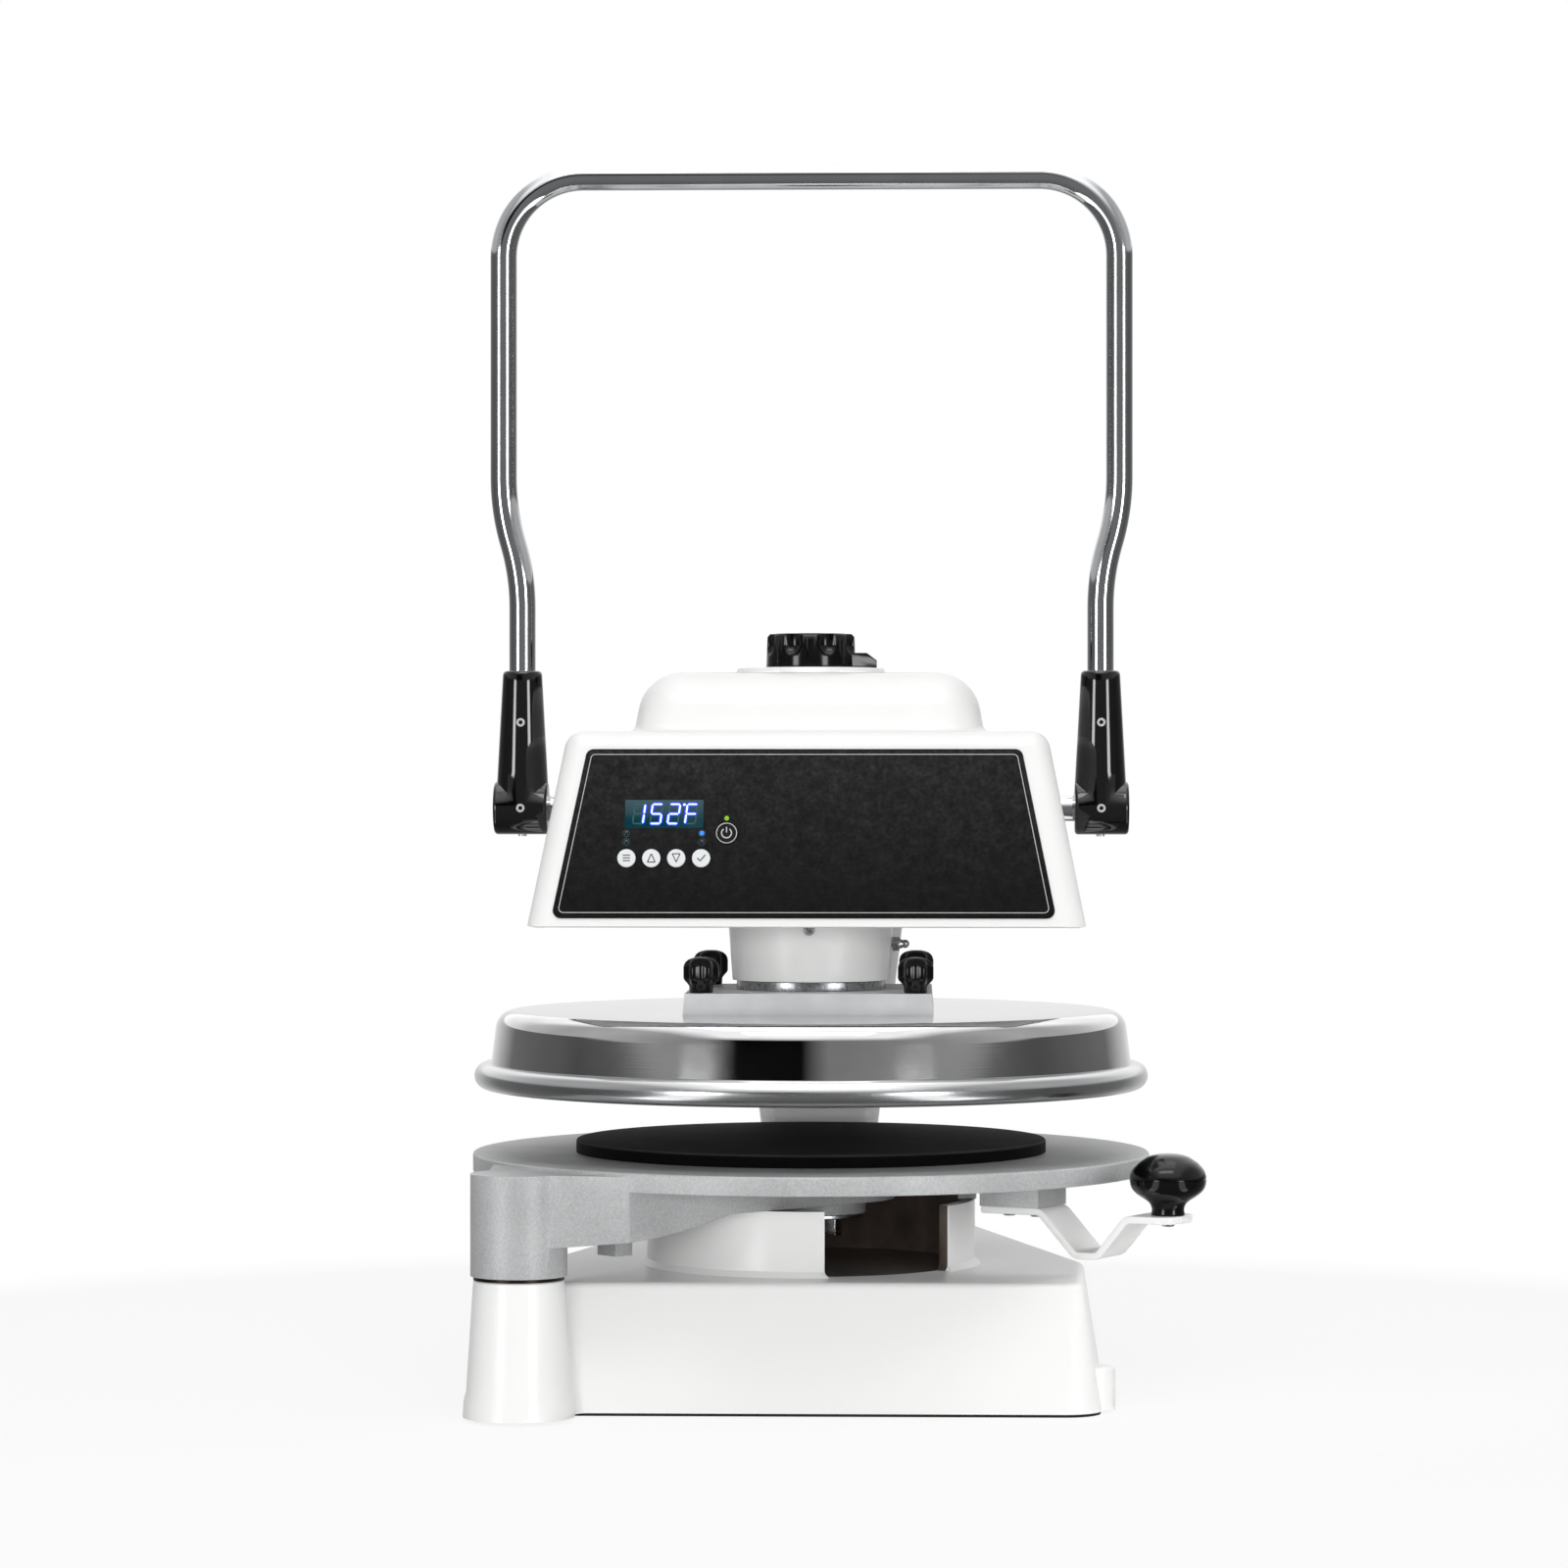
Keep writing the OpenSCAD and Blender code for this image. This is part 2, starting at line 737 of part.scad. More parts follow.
// Straight cuts through the face for the buttons, the lamps and the display
module face_cuts(depth, window_margin) {
    translate([0, 0, -depth]) {
        for (u = key_us) translate([u, key_v, 0]) cylinder(r = key_r + key_gap, h = 2 * depth);
        translate([power_u, power_v, 0]) cylinder(r = power_r + key_gap, h = 2 * depth);
        for (p = lamps()) translate([p[0], p[1], 0]) cylinder(r = lamp_r + key_gap, h = 2 * depth);
        translate([-controls_left - window_w / 2, window_v - window_h / 2, 0]) {
            translate([window_margin, window_margin, 0]) {
                cube([window_w - 2 * window_margin, window_h - 2 * window_margin, 2 * depth]);
            }
        }
    }
}

// Places of the indicator lamps on the face
function lamps() = concat(
    [for (s = [-1, 1], v = lamp_vs) [-controls_left + s * lamp_dx, v]],
    [[power_u, power_v + 10.5]]
);

// Cover of the head
module head_cover() {
    color("#f4f4f2") difference() {
        union() {
            difference() {
                union() {
                    head_body(0, 0);
                    dome_body(0);
                    translate([0, 0, dome_z - 1]) {
                        cylinder(r1 = top_boss_r, r2 = top_boss_r - 2, h = top_boss_h + 1);
                    }
                }
                head_body(head_wall, 1);
                dome_body(head_wall);
            }
            for (x = [-1, 1], y = cover_boss_ys) translate([x * cover_boss_x, y, deck_z1]) {
                cylinder(r = cover_boss_r, h = shoulder_z - head_wall / 2 - deck_z1);
            }
        }
        for (x = [-1, 1], y = cover_boss_ys) translate([x * cover_boss_x, y, deck_z1 - 1]) {
            cylinder(r = cover_screw_r + fit, h = 20);
        }
        translate([-head_half, 0, shaft_z]) rotate([0, 90, 0]) cylinder(r = bar_r + 2.5, h = 2 * head_half);
        translate([0, 0, dome_z - dome_r]) cylinder(r = spindle_r + 1, h = 2 * dome_r);
        on_face() face_cuts(10, 2);
    }
}

// Screws from below the deck into the cover's bosses, with their heads sunk in the deck
module cover_screws() {
    color("#8d8f91") for (x = [-1, 1], y = cover_boss_ys) translate([x * cover_boss_x, y, deck_z0]) {
        cylinder(r = 2 * cover_screw_r, h = cover_screw_head);
        cylinder(r = cover_screw_r, h = deck_t + 16);
    }
}

// Corner centres of the front panel, on the face
function panel_centres() =
    let (r = panel_corner_r)
    let (top_half = panel_half - panel_h * tan(side_slope))
    let (low = panel_half - r * (1 + sin(side_slope)) / cos(side_slope))
    let (high = top_half - r * (1 - sin(side_slope)) / cos(side_slope))
    let (v0 = panel_low + r)
    let (v1 = panel_low + panel_h - r)
    [for (c = [[-low, v0], [low, v0], [high, v1], [-high, v1]]) c + [panel_shift, 0]];

// Dark panel on the head's front face
module front_panel() {
    color("#26262a") on_face() difference() {
        translate([0, 0, seat_gap]) {
            linear_extrude(panel_t - seat_gap) rounded_outline(panel_centres(), panel_corner_r);
        }
        face_cuts(10, 0);
    }
}

// Tinted display window, let into the panel
module display_window() {
    inset = 0.1;
    color("#0e3c46") on_face() {
        translate([-controls_left - window_w / 2 + inset, window_v - window_h / 2 + inset, 0]) {
            cube([window_w - 2 * inset, window_h - 2 * inset, panel_t - 0.3]);
        }
    }
}

// Light pipes of the indicator lamps, standing on the control board
module indicator_lenses() {
    color("#2a5a9a") on_face() for (p = lamps()) translate([p[0], p[1], board_w]) {
        cylinder(r = lamp_r, h = panel_t + 0.3 - board_w);
    }
}

// Control board behind the panel, on four posts, with a switch under each button
module control_board() {
    u0 = -controls_left - window_w / 2 - 9;
    u1 = power_u + power_r + 6;
    v0 = key_v - 14;
    v1 = window_v + window_h / 2 + 8;
    color("#2e6b3a") on_face() {
        translate([u0, v0, board_w - board_t]) cube([u1 - u0, v1 - v0, board_t]);
        for (u = [u0 + 4, u1 - 4], v = [v0 + 4, v1 - 4]) translate([u, v, board_w]) {
            cylinder(r = 2.5, h = -head_wall - board_w - 3 * seat_gap);
        }
        for (u = key_us) translate([u - 3, key_v - 3, board_w]) cube([6, 6, switch_h]);
        translate([power_u - 3, power_v - 3, board_w]) cube([6, 6, switch_h]);
    }
}

// Flanged bush of the thickness spindle, in the yoke
module thickness_bush() {
    outer = spindle_r + spindle_bush_t;
    color("#a97f3f") translate([0, 0, yoke_z0]) {
        ring(outer, spindle_r + fit, yoke_t + 2);
        translate([0, 0, yoke_t]) ring(outer + 4, spindle_r + fit, 2);
    }
}

// Grease nipple on the right of the neck
module grease_nipple() {
    flat_x = neck_r + 3 * (1 - 16 / neck_h);
    color("#c9cacc") translate([0, 0, nipple_z]) rotate([0, 90, 0]) {
        translate([0, 0, guide_r]) cylinder(r = screw_r, h = flat_x - guide_r + 4);
        translate([0, 0, flat_x + 0.4]) hex(5, 5);
        translate([0, 0, flat_x + 5.4]) cylinder(r1 = 3.6, r2 = 2.2, h = 4);
        translate([0, 0, flat_x + 9.4]) sphere(r = 3);
    }
}

// Screw that holds the guide bush, on the front of the neck
module neck_screw() {
    flat_y = neck_r + 3 * (1 - neck_screw_drop / neck_h);
    color("#c9cacc") translate([0, 0, neck_screw_z]) rotate([90, 0, 0]) {
        translate([0, 0, guide_r]) cylinder(r = screw_r, h = flat_y - guide_r + 1);
        translate([0, 0, flat_y + 0.3]) cylinder(r1 = 4.2, r2 = 3.4, h = 2);
    }
}

// Pin that the lower platen swings on
module pivot_pin() {
    color("#c9cacc") translate([pivot[0], pivot[1], pin_z0]) cylinder(r = pin_r, h = pin_z1 - pin_z0);
}

// Thrust washer between the post and the hub
module thrust_washer() {
    color("#a97f3f") translate([pivot[0], pivot[1], post_z1]) ring(post_r, pin_r + fit, thrust_t);
}

// Cable gland low on the column's back, closed by its seal
module cable_gland() {
    color("#222224") translate([0, column_y1, gland_z]) rotate([-90, 0, 0]) {
        translate([0, 0, -column_wall - 3]) cylinder(r = gland_r, h = column_wall + 4);
        hex(1.5 * gland_r, 6);
        translate([0, 0, 6]) cylinder(r = gland_r + 2, h = 6);
        translate([0, 0, 12]) cylinder(r1 = gland_r + 2, r2 = gland_r - 3, h = 5);
    }
}

// Cross shaft of the handle, with a keyway under the cam
module handle_shaft() {
    color("#c9cacc") difference() {
        translate([-shaft_half, 0, shaft_z]) rotate([0, 90, 0]) cylinder(r = bar_r, h = 2 * shaft_half);
        key_block(cam_w);
    }
}

// One arm of the handle bar: socket end, outward step, upright and corner
module half_bar() {
    thin = 0.02;
    turn = 2 * atan(jog / jog_h);
    jog_r = jog_h / (2 * sin(turn));
    jog_z = shaft_z + jog_start;
    bar_x = arm_x + jog;
    foot = shaft_z + bar_r + 12;
    translate([arm_x, 0, foot]) cylinder(r = bar_r, h = jog_z - foot);
    translate([arm_x + jog_r, 0, jog_z]) rotate([90, 0, 180]) bend(jog_r, turn, thin);
    translate([bar_x - jog_r, 0, jog_z + jog_h]) rotate([-90, 0, 0]) bend(jog_r, turn, 2 * thin);
    translate([bar_x, 0, jog_z + jog_h]) cylinder(r = bar_r, h = handle_z - bend_r - jog_z - jog_h);
    translate([bar_x - bend_r, 0, handle_z - bend_r]) rotate([90, 0, 0]) bend(bend_r, 90, thin);
}

// Bend of the handle bar round the Z axis, from the X axis on, drawn a little thinner as a bent bar is
module bend(r, angle, thin) {
    rotate_extrude(angle = angle) translate([r, 0]) circle(bar_r - thin);
}

// Bent handle bar
module handle_bar() {
    top_half = arm_x + jog - bend_r;
    color("#d4d6d8") {
        half_bar();
        mirror([1, 0, 0]) half_bar();
        translate([-top_half, 0, handle_z]) rotate([0, 90, 0]) cylinder(r = bar_r, h = 2 * top_half);
    }
}

// Socket that joins the shaft to the bar, drawn for the right side
module socket() {
    foot = shaft_z + bar_r + 12;
    color("#161616") difference() {
        union() {
            translate([socket_x0, 0, shaft_z]) rotate([0, 90, 0]) {
                cylinder(r = socket_hub_r, h = socket_hub_l);
            }
            translate([arm_x, 0, shaft_z]) cylinder(r1 = socket_hub_r - 1.2, r2 = socket_top_r, h = socket_h);
        }
        translate([socket_x0 - 1, 0, shaft_z]) rotate([0, 90, 0]) {
            cylinder(r = bar_r + fit, h = shaft_half - socket_x0 + 1);
        }
        translate([arm_x, 0, foot]) cylinder(r = bar_r + fit, h = socket_h);
        socket_screw_set(fit);
    }
}

// Set screws of one socket: two on its front and one below; grow makes their holes, which open into the bores
module socket_screw_set(grow) {
    r = set_screw_r + grow;
    seat = grow > 0 ? bar_r - 1 : bar_r + 2 * fit;
    proud = socket_hub_r + 1.2;
    for (z = [shaft_z + 61, shaft_z]) translate([arm_x, 0, z]) rotate([90, 0, 0]) {
        translate([0, 0, seat]) cylinder(r = r, h = (z > shaft_z ? proud - 2.6 : proud) - seat);
    }
    translate([arm_x, 0, shaft_z]) rotate([180, 0, 0]) {
        translate([0, 0, seat]) cylinder(r = r, h = proud - seat);
    }
}

// Socket on the left
module left_socket() {
    mirror([1, 0, 0]) socket();
}

// Socket on the right
module right_socket() {
    socket();
}

// Set screws of both sockets
module socket_screws() {
    color("#1d1d1f") {
        socket_screw_set(0);
        mirror([1, 0, 0]) socket_screw_set(0);
    }
}

// Point of the cam's working face at an angle from straight down, towards the front, as [y, z] from the
// shaft's axis
function cam_point(a) =
    let (p = roller_drop + stroke * a / pull_angle)
    let (dp = stroke / pull_angle * 180 / PI)
    let (d = [-sin(a), -cos(a)])
    let (t = dp * d + p * [-cos(a), sin(a)])
    p * d - (roller_r + roller_gap) * [-t[1], t[0]] / norm(t);

// Cam on the handle shaft: a steady spiral for the roller, and a flat heel that meets the stop bar
module cam() {
    heel = pull_angle - 90;
    steps = 36;
    face = [for (i = [0 : steps]) cam_point(i * (pull_angle + cam_over) / steps)];
    color("#8d8f91") difference() {
        translate([0, 0, shaft_z]) rotate([90, 0, 90]) {
            cylinder(r = cam_hub_r, h = cam_w, center = true);
            linear_extrude(cam_w - 1, center = true) polygon(concat([[0, 5]], face));
            rotate([0, 0, -heel]) translate([0, -heel_h + 2, 1 - cam_w / 2]) {
                cube([stop_heel, heel_h, cam_w - 2]);
            }
        }
        translate([-cam_w, 0, shaft_z]) rotate([0, 90, 0]) cylinder(r = bar_r + fit, h = 2 * cam_w);
        key_block(cam_w + 2);
    }
}

// Key of the cam, and the slot for it, above the shaft's axis
module key_block(length) {
    translate([-length / 2, -key_w / 2, shaft_z + bar_r - key_w / 2]) cube([length, key_w, key_w]);
}

// Key between the cam and the shaft
module cam_key() {
    color("#b9bbbd") key_block(cam_w);
}

// Collars that keep the shaft from sliding
module shaft_collars() {
    color("#b9bbbd") for (x = [-pillar_x1 - collar_w - clear, pillar_x1 + clear]) {
        translate([x, 0, shaft_z]) rotate([0, 90, 0]) ring(collar_r, bar_r + fit, collar_w);
    }
}

// Ram with the flange below and the roller's clevis above
module ram() {
    color("#c4c6c8") difference() {
        union() {
            translate([0, 0, plate_z1]) cylinder(r = flange_r, h = flange_t);
            translate([0, 0, plate_z1]) cylinder(r = ram_r, h = ram_z1 - plate_z1);
            for (x = [-cheek_x0 - cheek_t, cheek_x0]) {
                translate([x, -cheek_half, ram_z1 - 1]) {
                    cube([cheek_t, 2 * cheek_half, roller_z - ram_z1 + 1]);
                }
                translate([x, 0, roller_z]) rotate([0, 90, 0]) cylinder(r = cheek_half, h = cheek_t);
            }
        }
        translate([-cheek_x0 - cheek_t - 1, 0, roller_z]) rotate([0, 90, 0]) {
            cylinder(r = roller_pin_r + fit, h = 2 * (cheek_x0 + cheek_t + 1));
        }
        flange_screw_set(fit);
    }
}

// Flat-headed screws through the flange; grow makes their holes
module flange_screw_set(grow) {
    head_h = 3;
    for (a = [45 : 90 : 315]) rotate([0, 0, a]) translate([flange_screw_at, 0, flange_z1]) {
        translate([0, 0, -head_h]) {
            cylinder(r1 = flange_screw_r + grow, r2 = flange_screw_r + 2.7 + 2 * grow, h = head_h + grow);
        }
        translate([0, 0, -flange_t - 10]) cylinder(r = flange_screw_r + grow, h = flange_t + 8);
    }
}

// Screws that hold the ram to the adapter plate
module flange_screws() {
    color("#8d8f91") flange_screw_set(0);
}

// Pin of the roller, through both cheeks of the clevis
module roller_pin() {
    half = cheek_x0 + cheek_t;
    color("#b9bbbd") translate([-half, 0, roller_z]) rotate([0, 90, 0]) {
        cylinder(r = roller_pin_r, h = 2 * half);
    }
}

// Roller that the cam presses on
module roller() {
    color("#a7a9ab") translate([-roller_w / 2, 0, roller_z]) rotate([0, 90, 0]) {
        ring(roller_r, roller_pin_r + fit, roller_w);
    }
}

// Square plate between the ram and the upper platen, a little wider below
module adapter_plate() {
    color("#b4b6b7") difference() {
        translate([0, 0, cover_z1]) linear_extrude(plate_t, scale = plate_taper) {
            square(plate_side, center = true);
        }
        at_studs() translate([0, 0, cover_z1 - 1]) cylinder(r = stud_r + clear, h = plate_t + 2);
        flange_screw_set(fit);
    }
}

// Heated platen with a rounded rim
module heated_platen() {
    r = upper_t / 2;
    color("#b9babb") difference() {
        translate([0, 0, upper_z0]) rotate_extrude() {
            square([upper_r - r, upper_t]);
            translate([upper_r - r, r]) intersection() {
                circle(r);
                translate([0, -r]) square([r, upper_t]);
            }
        }
        at_studs() translate([0, 0, stud_z0]) cylinder(r = stud_r + fit, h = upper_t);
    }
}

// Half section of the stainless cover; wall draws it in
module cover_section(wall) {
    e = cover_edge_r;
    top_r = cover_r - 3;
    polygon([
        [0, -wall], [cover_r - wall, -wall], [cover_r - wall, 0], [top_r - wall, cover_h - e],
        [top_r - e, cover_h - wall], [0, cover_h - wall]
    ]);
    translate([top_r - e, cover_h - e]) intersection() {
        circle(e - wall);
        square(e);
    }
}

// Polished stainless cover over the heated platen
module platen_cover() {
    color("#d7d8da") difference() {
        translate([0, 0, upper_z1]) rotate_extrude() difference() {
            cover_section(0);
            cover_section(cover_t);
        }
        at_studs() translate([0, 0, upper_z1]) cylinder(r = stud_r + clear, h = cover_h + 1);
    }
}

// Ring heater on the heated platen
module heater_ring() {
    color("#7f7a72") translate([0, 0, upper_z1]) {
        ring(heater_r + heater_w / 2, heater_r - heater_w / 2, heater_t);
    }
}

// Studs from the heated platen up to the clamp knobs
module clamp_studs() {
    color("#c4c6c8") at_studs() translate([0, 0, stud_z0]) cylinder(r = stud_r, h = stud_z1 - stud_z0);
}

// Sleeves round the studs that carry the clamping force through the cover
module clamp_sleeves() {
    color("#b9bbbd") at_studs() translate([0, 0, upper_z1]) ring(sleeve_r, stud_r + clear, cover_h - cover_t);
}

// Point of a return spring's centre line and its radial direction, at a share t of its length
function spring_r(t) = spring_mean_r * min(1, t * spring_turns, (1 - t) * spring_turns);
function spring_dir(t) = [cos(360 * spring_turns * t), sin(360 * spring_turns * t), 0];
function spring_point(t, z0, z1) = spring_r(t) * spring_dir(t) + [0, 0, z0 + (z1 - z0) * t];

// Extension spring between two levels, with both ends led to its axis
module spring(z0, z1) {
    lead = 2 * spring_wire_r;
    n = spring_turns * spring_rings;
    mid = [for (i = [0 : n]) spring_point(i / n, z0 + lead, z1 - lead)];
    path = concat([[0, 0, z0]], mid, [[0, 0, z1]]);
    last = len(path) - 1;
    rings = [for (i = [0 : last])
        let (a = path[max(i - 1, 0)])
        let (b = path[min(i + 1, last)])
        let (t = i == 0 || i == last ? [0, 0, 1] : (b - a) / norm(b - a))
        let (e = spring_dir(min(max(i - 1, 0), n) / n))
        let (u = cross(t, e) / norm(cross(t, e)))
        let (v = cross(u, t))
        [for (k = [0 : spring_sides - 1])
            let (w = 360 * k / spring_sides)
            path[i] + spring_wire_r * (cos(w) * u + sin(w) * v)]
    ];
    points = [for (r = rings) each r];
    m = spring_sides;
    sides = [for (i = [0 : last - 1], k = [0 : m - 1])
        let (k1 = (k + 1) % m)
        each [[i * m + k, (i + 1) * m + k, (i + 1) * m + k1], [i * m + k, (i + 1) * m + k1, i * m + k1]]
    ];
    ends = concat(
        [for (k = [1 : m - 2]) [0, k, k + 1]],
        [for (k = [1 : m - 2]) [last * m, last * m + k + 1, last * m + k]]
    );
    polyhedron(points, concat(sides, ends));
}

// Springs that lift the ram, hung from the yoke
module return_springs() {
    color("#8d8f91") for (s = [-1, 1]) translate([s * spring_at[0], s * spring_at[1], 0]) {
        spring(ram_z1 + 0.1, yoke_z0 - 0.1);
    }
}

// Lobed clamp knob with a nub on top, drawn at its stud
module clamp_knob(sx, sy) {
    lobes = 6;
    base_h = 6;
    nub_h = 3;
    top = clamp_h - nub_h;
    bulge = 40;
    color("#141416") translate([sx * stud_offset, sy * stud_offset, plate_z1]) difference() {
        union() {
            cylinder(r = clamp_r - 3.5, h = base_h + 1);
            intersection() {
                translate([0, 0, base_h]) linear_extrude(top - base_h) {
                    circle(clamp_r - 2);
                    for (a = [0 : 360 / lobes : 359]) rotate(a) translate([clamp_r - 4, 0]) circle(4);
                }
                translate([0, 0, (base_h + top) / 2]) rotate_extrude() intersection() {
                    translate([clamp_r - bulge, 0]) circle(bulge);
                    translate([0, -clamp_h]) square([clamp_r, 2 * clamp_h]);
                }
            }
            translate([0, 0, top]) cylinder(r1 = 5, r2 = 4, h = nub_h);
        }
        translate([0, 0, -1]) cylinder(r = stud_r + fit, h = stud_z1 - plate_z1 + 1.5);
    }
}

// Clamp knob at the left front
module clamp_knob_front_left() {
    clamp_knob(-1, -1);
}

// Clamp knob at the right front
module clamp_knob_front_right() {
    clamp_knob(1, -1);
}

// Clamp knob at the left rear
module clamp_knob_rear_left() {
    clamp_knob(-1, 1);
}

// Clamp knob at the right rear
module clamp_knob_rear_right() {
    clamp_knob(1, 1);
}

// Fluted thickness knob with a pointer to the right
module thickness_knob() {
    flute_r = 0.28 * knob_r;
    flute_z = 0.3 * knob_h + flute_r;
    tip = 7;
    root = 0.6 * knob_r;
    color("#161618") translate([0, 0, knob_z0]) difference() {
        union() {
            difference() {
                union() {
                    cylinder(r1 = knob_r, r2 = knob_r - 0.8, h = knob_h - 2);
                    translate([0, 0, knob_h - 2]) cylinder(r1 = knob_r - 0.8, r2 = knob_r - 2.5, h = 2);
                }
                for (i = [0 : knob_flutes - 1]) rotate([0, 0, (i + 0.5) * 360 / knob_flutes]) {
                    translate([knob_r + 0.45 * flute_r, 0, flute_z]) {
                        cylinder(r = flute_r, h = knob_h);
                        sphere(r = flute_r);
                    }
                }
            }
            intersection() {
                rotate([90, 0, 0]) translate([0, 0, -knob_r]) linear_extrude(2 * knob_r) polygon([
                    [0, 0], [pointer_r, 0], [pointer_r, 0.5 * pointer_h],
                    [pointer_r - tip, pointer_h], [0, pointer_h]
                ]);
                linear_extrude(pointer_h) polygon([
                    [0, -root], [pointer_r, -tip], [pointer_r, tip], [0, root]
                ]);
            }
        }
        translate([0, 0, -1]) cylinder(r = spindle_r + fit, h = spindle_z1 - knob_z0 + 1.5);
    }
}

// Spindle from the knob down into the stop bar
module thickness_spindle() {
    color("#b9bbbd") {
        translate([0, 0, spindle_z0]) cylinder(r = spindle_r, h = spindle_z1 - spindle_z0);
        translate([0, 0, yoke_z0 + yoke_t + 2]) cylinder(r = spindle_collar_r, h = 4);
    }
}

// Bar that rides on the spindle's thread and stops the cam's heel
module stop_bar() {
    half = pillar_x0 - clear;
    color("#8d8f91") translate([0, 0, stop_bar_z0]) difference() {
        translate([-half, -stop_bar_half, 0]) cube([2 * half, 2 * stop_bar_half, stop_bar_h]);
        translate([0, 0, 2]) cylinder(r = spindle_r + fit, h = stop_bar_h);
    }
}

// Push button at a place on the face, reaching down to its switch
module button(u, v, r) {
    low = board_w + switch_h + key_travel + 0.1;
    on_face() translate([u, v, low]) cylinder(r = r, h = panel_t + key_proud - low);
}

// Power button, right of the display
module power_button() {
    color("#e9e9ea") button(power_u, power_v, power_r);
}

// First of the four small buttons
module mode_button() {
    color("#f2f2f2") button(key_us[0], key_v, key_r);
}

// Second small button, for more heat or time
module up_button() {
    color("#f2f2f2") button(key_us[1], key_v, key_r);
}

// Third small button, for less
module down_button() {
    color("#f2f2f2") button(key_us[2], key_v, key_r);
}

// Fourth small button
module set_button() {
    color("#f2f2f2") button(key_us[3], key_v, key_r);
}

// Plan of the swing arm: hub, flare up to the platen's edge, and round end under the centre
module arm_plan() {
    side = [-sin(pivot_dir), cos(pivot_dir)];
    edge = [for (s = [-1, 1])
        let (a = 180 + pivot_dir + s * arm_flare)
        (lower_r - 1) * [cos(a), sin(a)]
    ];
    translate(pivot) circle(hub_r);
    circle(arm_end_r);
    polygon([pivot + hub_r * side, edge[0], edge[1], pivot - hub_r * side]);
    polygon([edge[0], arm_end_r * side, -arm_end_r * side, edge[1]]);
}

// Underside of the arm, turned about the pivot: low at the hub, above the ring from there on
module arm_turned(top) {
    far = pivot_dist + lower_r;
    translate([pivot[0], pivot[1], 0]) rotate_extrude() polygon([
        [0, hub_z0],
        [hub_r, hub_z0],
        [hub_r, ring_z1 + clear - arm_drop],
        [hub_r + 55, ring_z1 + clear - 0.72 * arm_drop],
        [hub_r + 90, ring_z1 + clear - 0.36 * arm_drop],
        [arm_clear_r, ring_z1 + clear],
        [far, ring_z1 + clear],
        [far, top],
        [0, top]
    ]);
}

// Lower platen with its swing arm, hub and centre boss in one casting
module lower_platen() {
    chamfer = 1;
    color("#b9babb") difference() {
        union() {
            translate([0, 0, lower_z0]) cylinder(r = lower_r, h = lower_t - chamfer);
            translate([0, 0, lower_z1 - chamfer]) cylinder(r1 = lower_r, r2 = lower_r - chamfer, h = chamfer);
            intersection() {
                translate([0, 0, hub_z0]) linear_extrude(hub_z1 - hub_z0) arm_plan();
                arm_turned(hub_z1);
            }
            translate([0, 0, boss_z0]) cylinder(r = boss_r, h = lower_z0 - boss_z0 + 1);
            translate([pivot[0], pivot[1], 0]) rotate([0, 0, pivot_dir]) {
                translate([stop_at - stop_l / 2, -stop_w / 2, ring_z1 - stop_drop]) {
                    cube([stop_l, stop_w, lower_z0 - ring_z1 + stop_drop]);
                }
            }
            translate([pedestal_r - pedestal_wall - 4, -rest_pad_w / 2, ring_z1 + clear]) {
                cube([pedestal_wall + 5, rest_pad_w, lower_z0 - ring_z1]);
            }
            rotate([0, 0, -grip_angle]) translate([strap_in, -strap_w / 2 - 1.5, lower_z0 - block_h]) {
                cube([block_l, strap_w + 3, block_h + 1]);
            }
        }
        translate([pivot[0], pivot[1], hub_z0 - 1]) cylinder(r = hub_bore_r + fit, h = pin_z1 - hub_z0 + 2);
        boss_bolt_holes();
        strap_screw_set(fit);
    }
}

// Holes in the centre boss for the bolts below it
module boss_bolt_holes() {
    for (x = [-1, 1]) translate([x * boss_bolt_x, 0, boss_z0 - 1]) cylinder(r = boss_bolt_r + fit, h = 21);
}

// Bronze bush in the hub
module hub_bush() {
    color("#a97f3f") translate([pivot[0], pivot[1], hub_z0]) ring(hub_bore_r, pin_r + fit, pin_z1 - hub_z0);
}

// Press mat on the lower platen
module press_mat() {
    edge = 1.5;
    color("#141414") translate([0, 0, lower_z1]) {
        cylinder(r = mat_r, h = mat_t - edge);
        translate([0, 0, mat_t - edge]) cylinder(r1 = mat_r, r2 = mat_r - edge, h = edge);
    }
}

// Row of strap points, moved out by t on the side to the left of the row
function strap_side(path, t) = [for (i = [0 : len(path) - 1])
    let (a = path[max(i - 1, 0)])
    let (p = path[i])
    let (b = path[min(i + 1, len(path) - 1)])
    let (d0 = i == 0 ? (b - p) / norm(b - p) : (p - a) / norm(p - a))
    let (d1 = i == len(path) - 1 ? d0 : (b - p) / norm(b - p))
    let (m = [-d0[1] - d1[1], d0[0] + d1[0]])
    p + m * 2 * t / (m * m)
];

// Places its children at the strap's inner end, with X outwards along the strap and Z up
module along_grip() {
    rotate([0, 0, -grip_angle]) translate([strap_in, 0, strap_z]) children();
}

// Bent strap from the platen's block out to the knob
module grip_strap() {
    top = strap_side(strap_path, strap_t);
    count = len(top);
    color("#efefed") difference() {
        along_grip() intersection() {
            translate([0, strap_w / 2, 0]) rotate([90, 0, 0]) linear_extrude(strap_w) {
                polygon(concat(strap_path, [for (i = [count - 1 : -1 : 0]) top[i]]));
            }
            translate([0, 0, -strap_dip - 1]) linear_extrude(strap_dip + strap_t + 2) {
                rounded_outline(
                    box_centres(-strap_w, strap_s[5], -strap_w / 2, strap_w / 2, strap_end_r), strap_end_r);
            }
        }
        strap_screw_set(fit);
    }
}

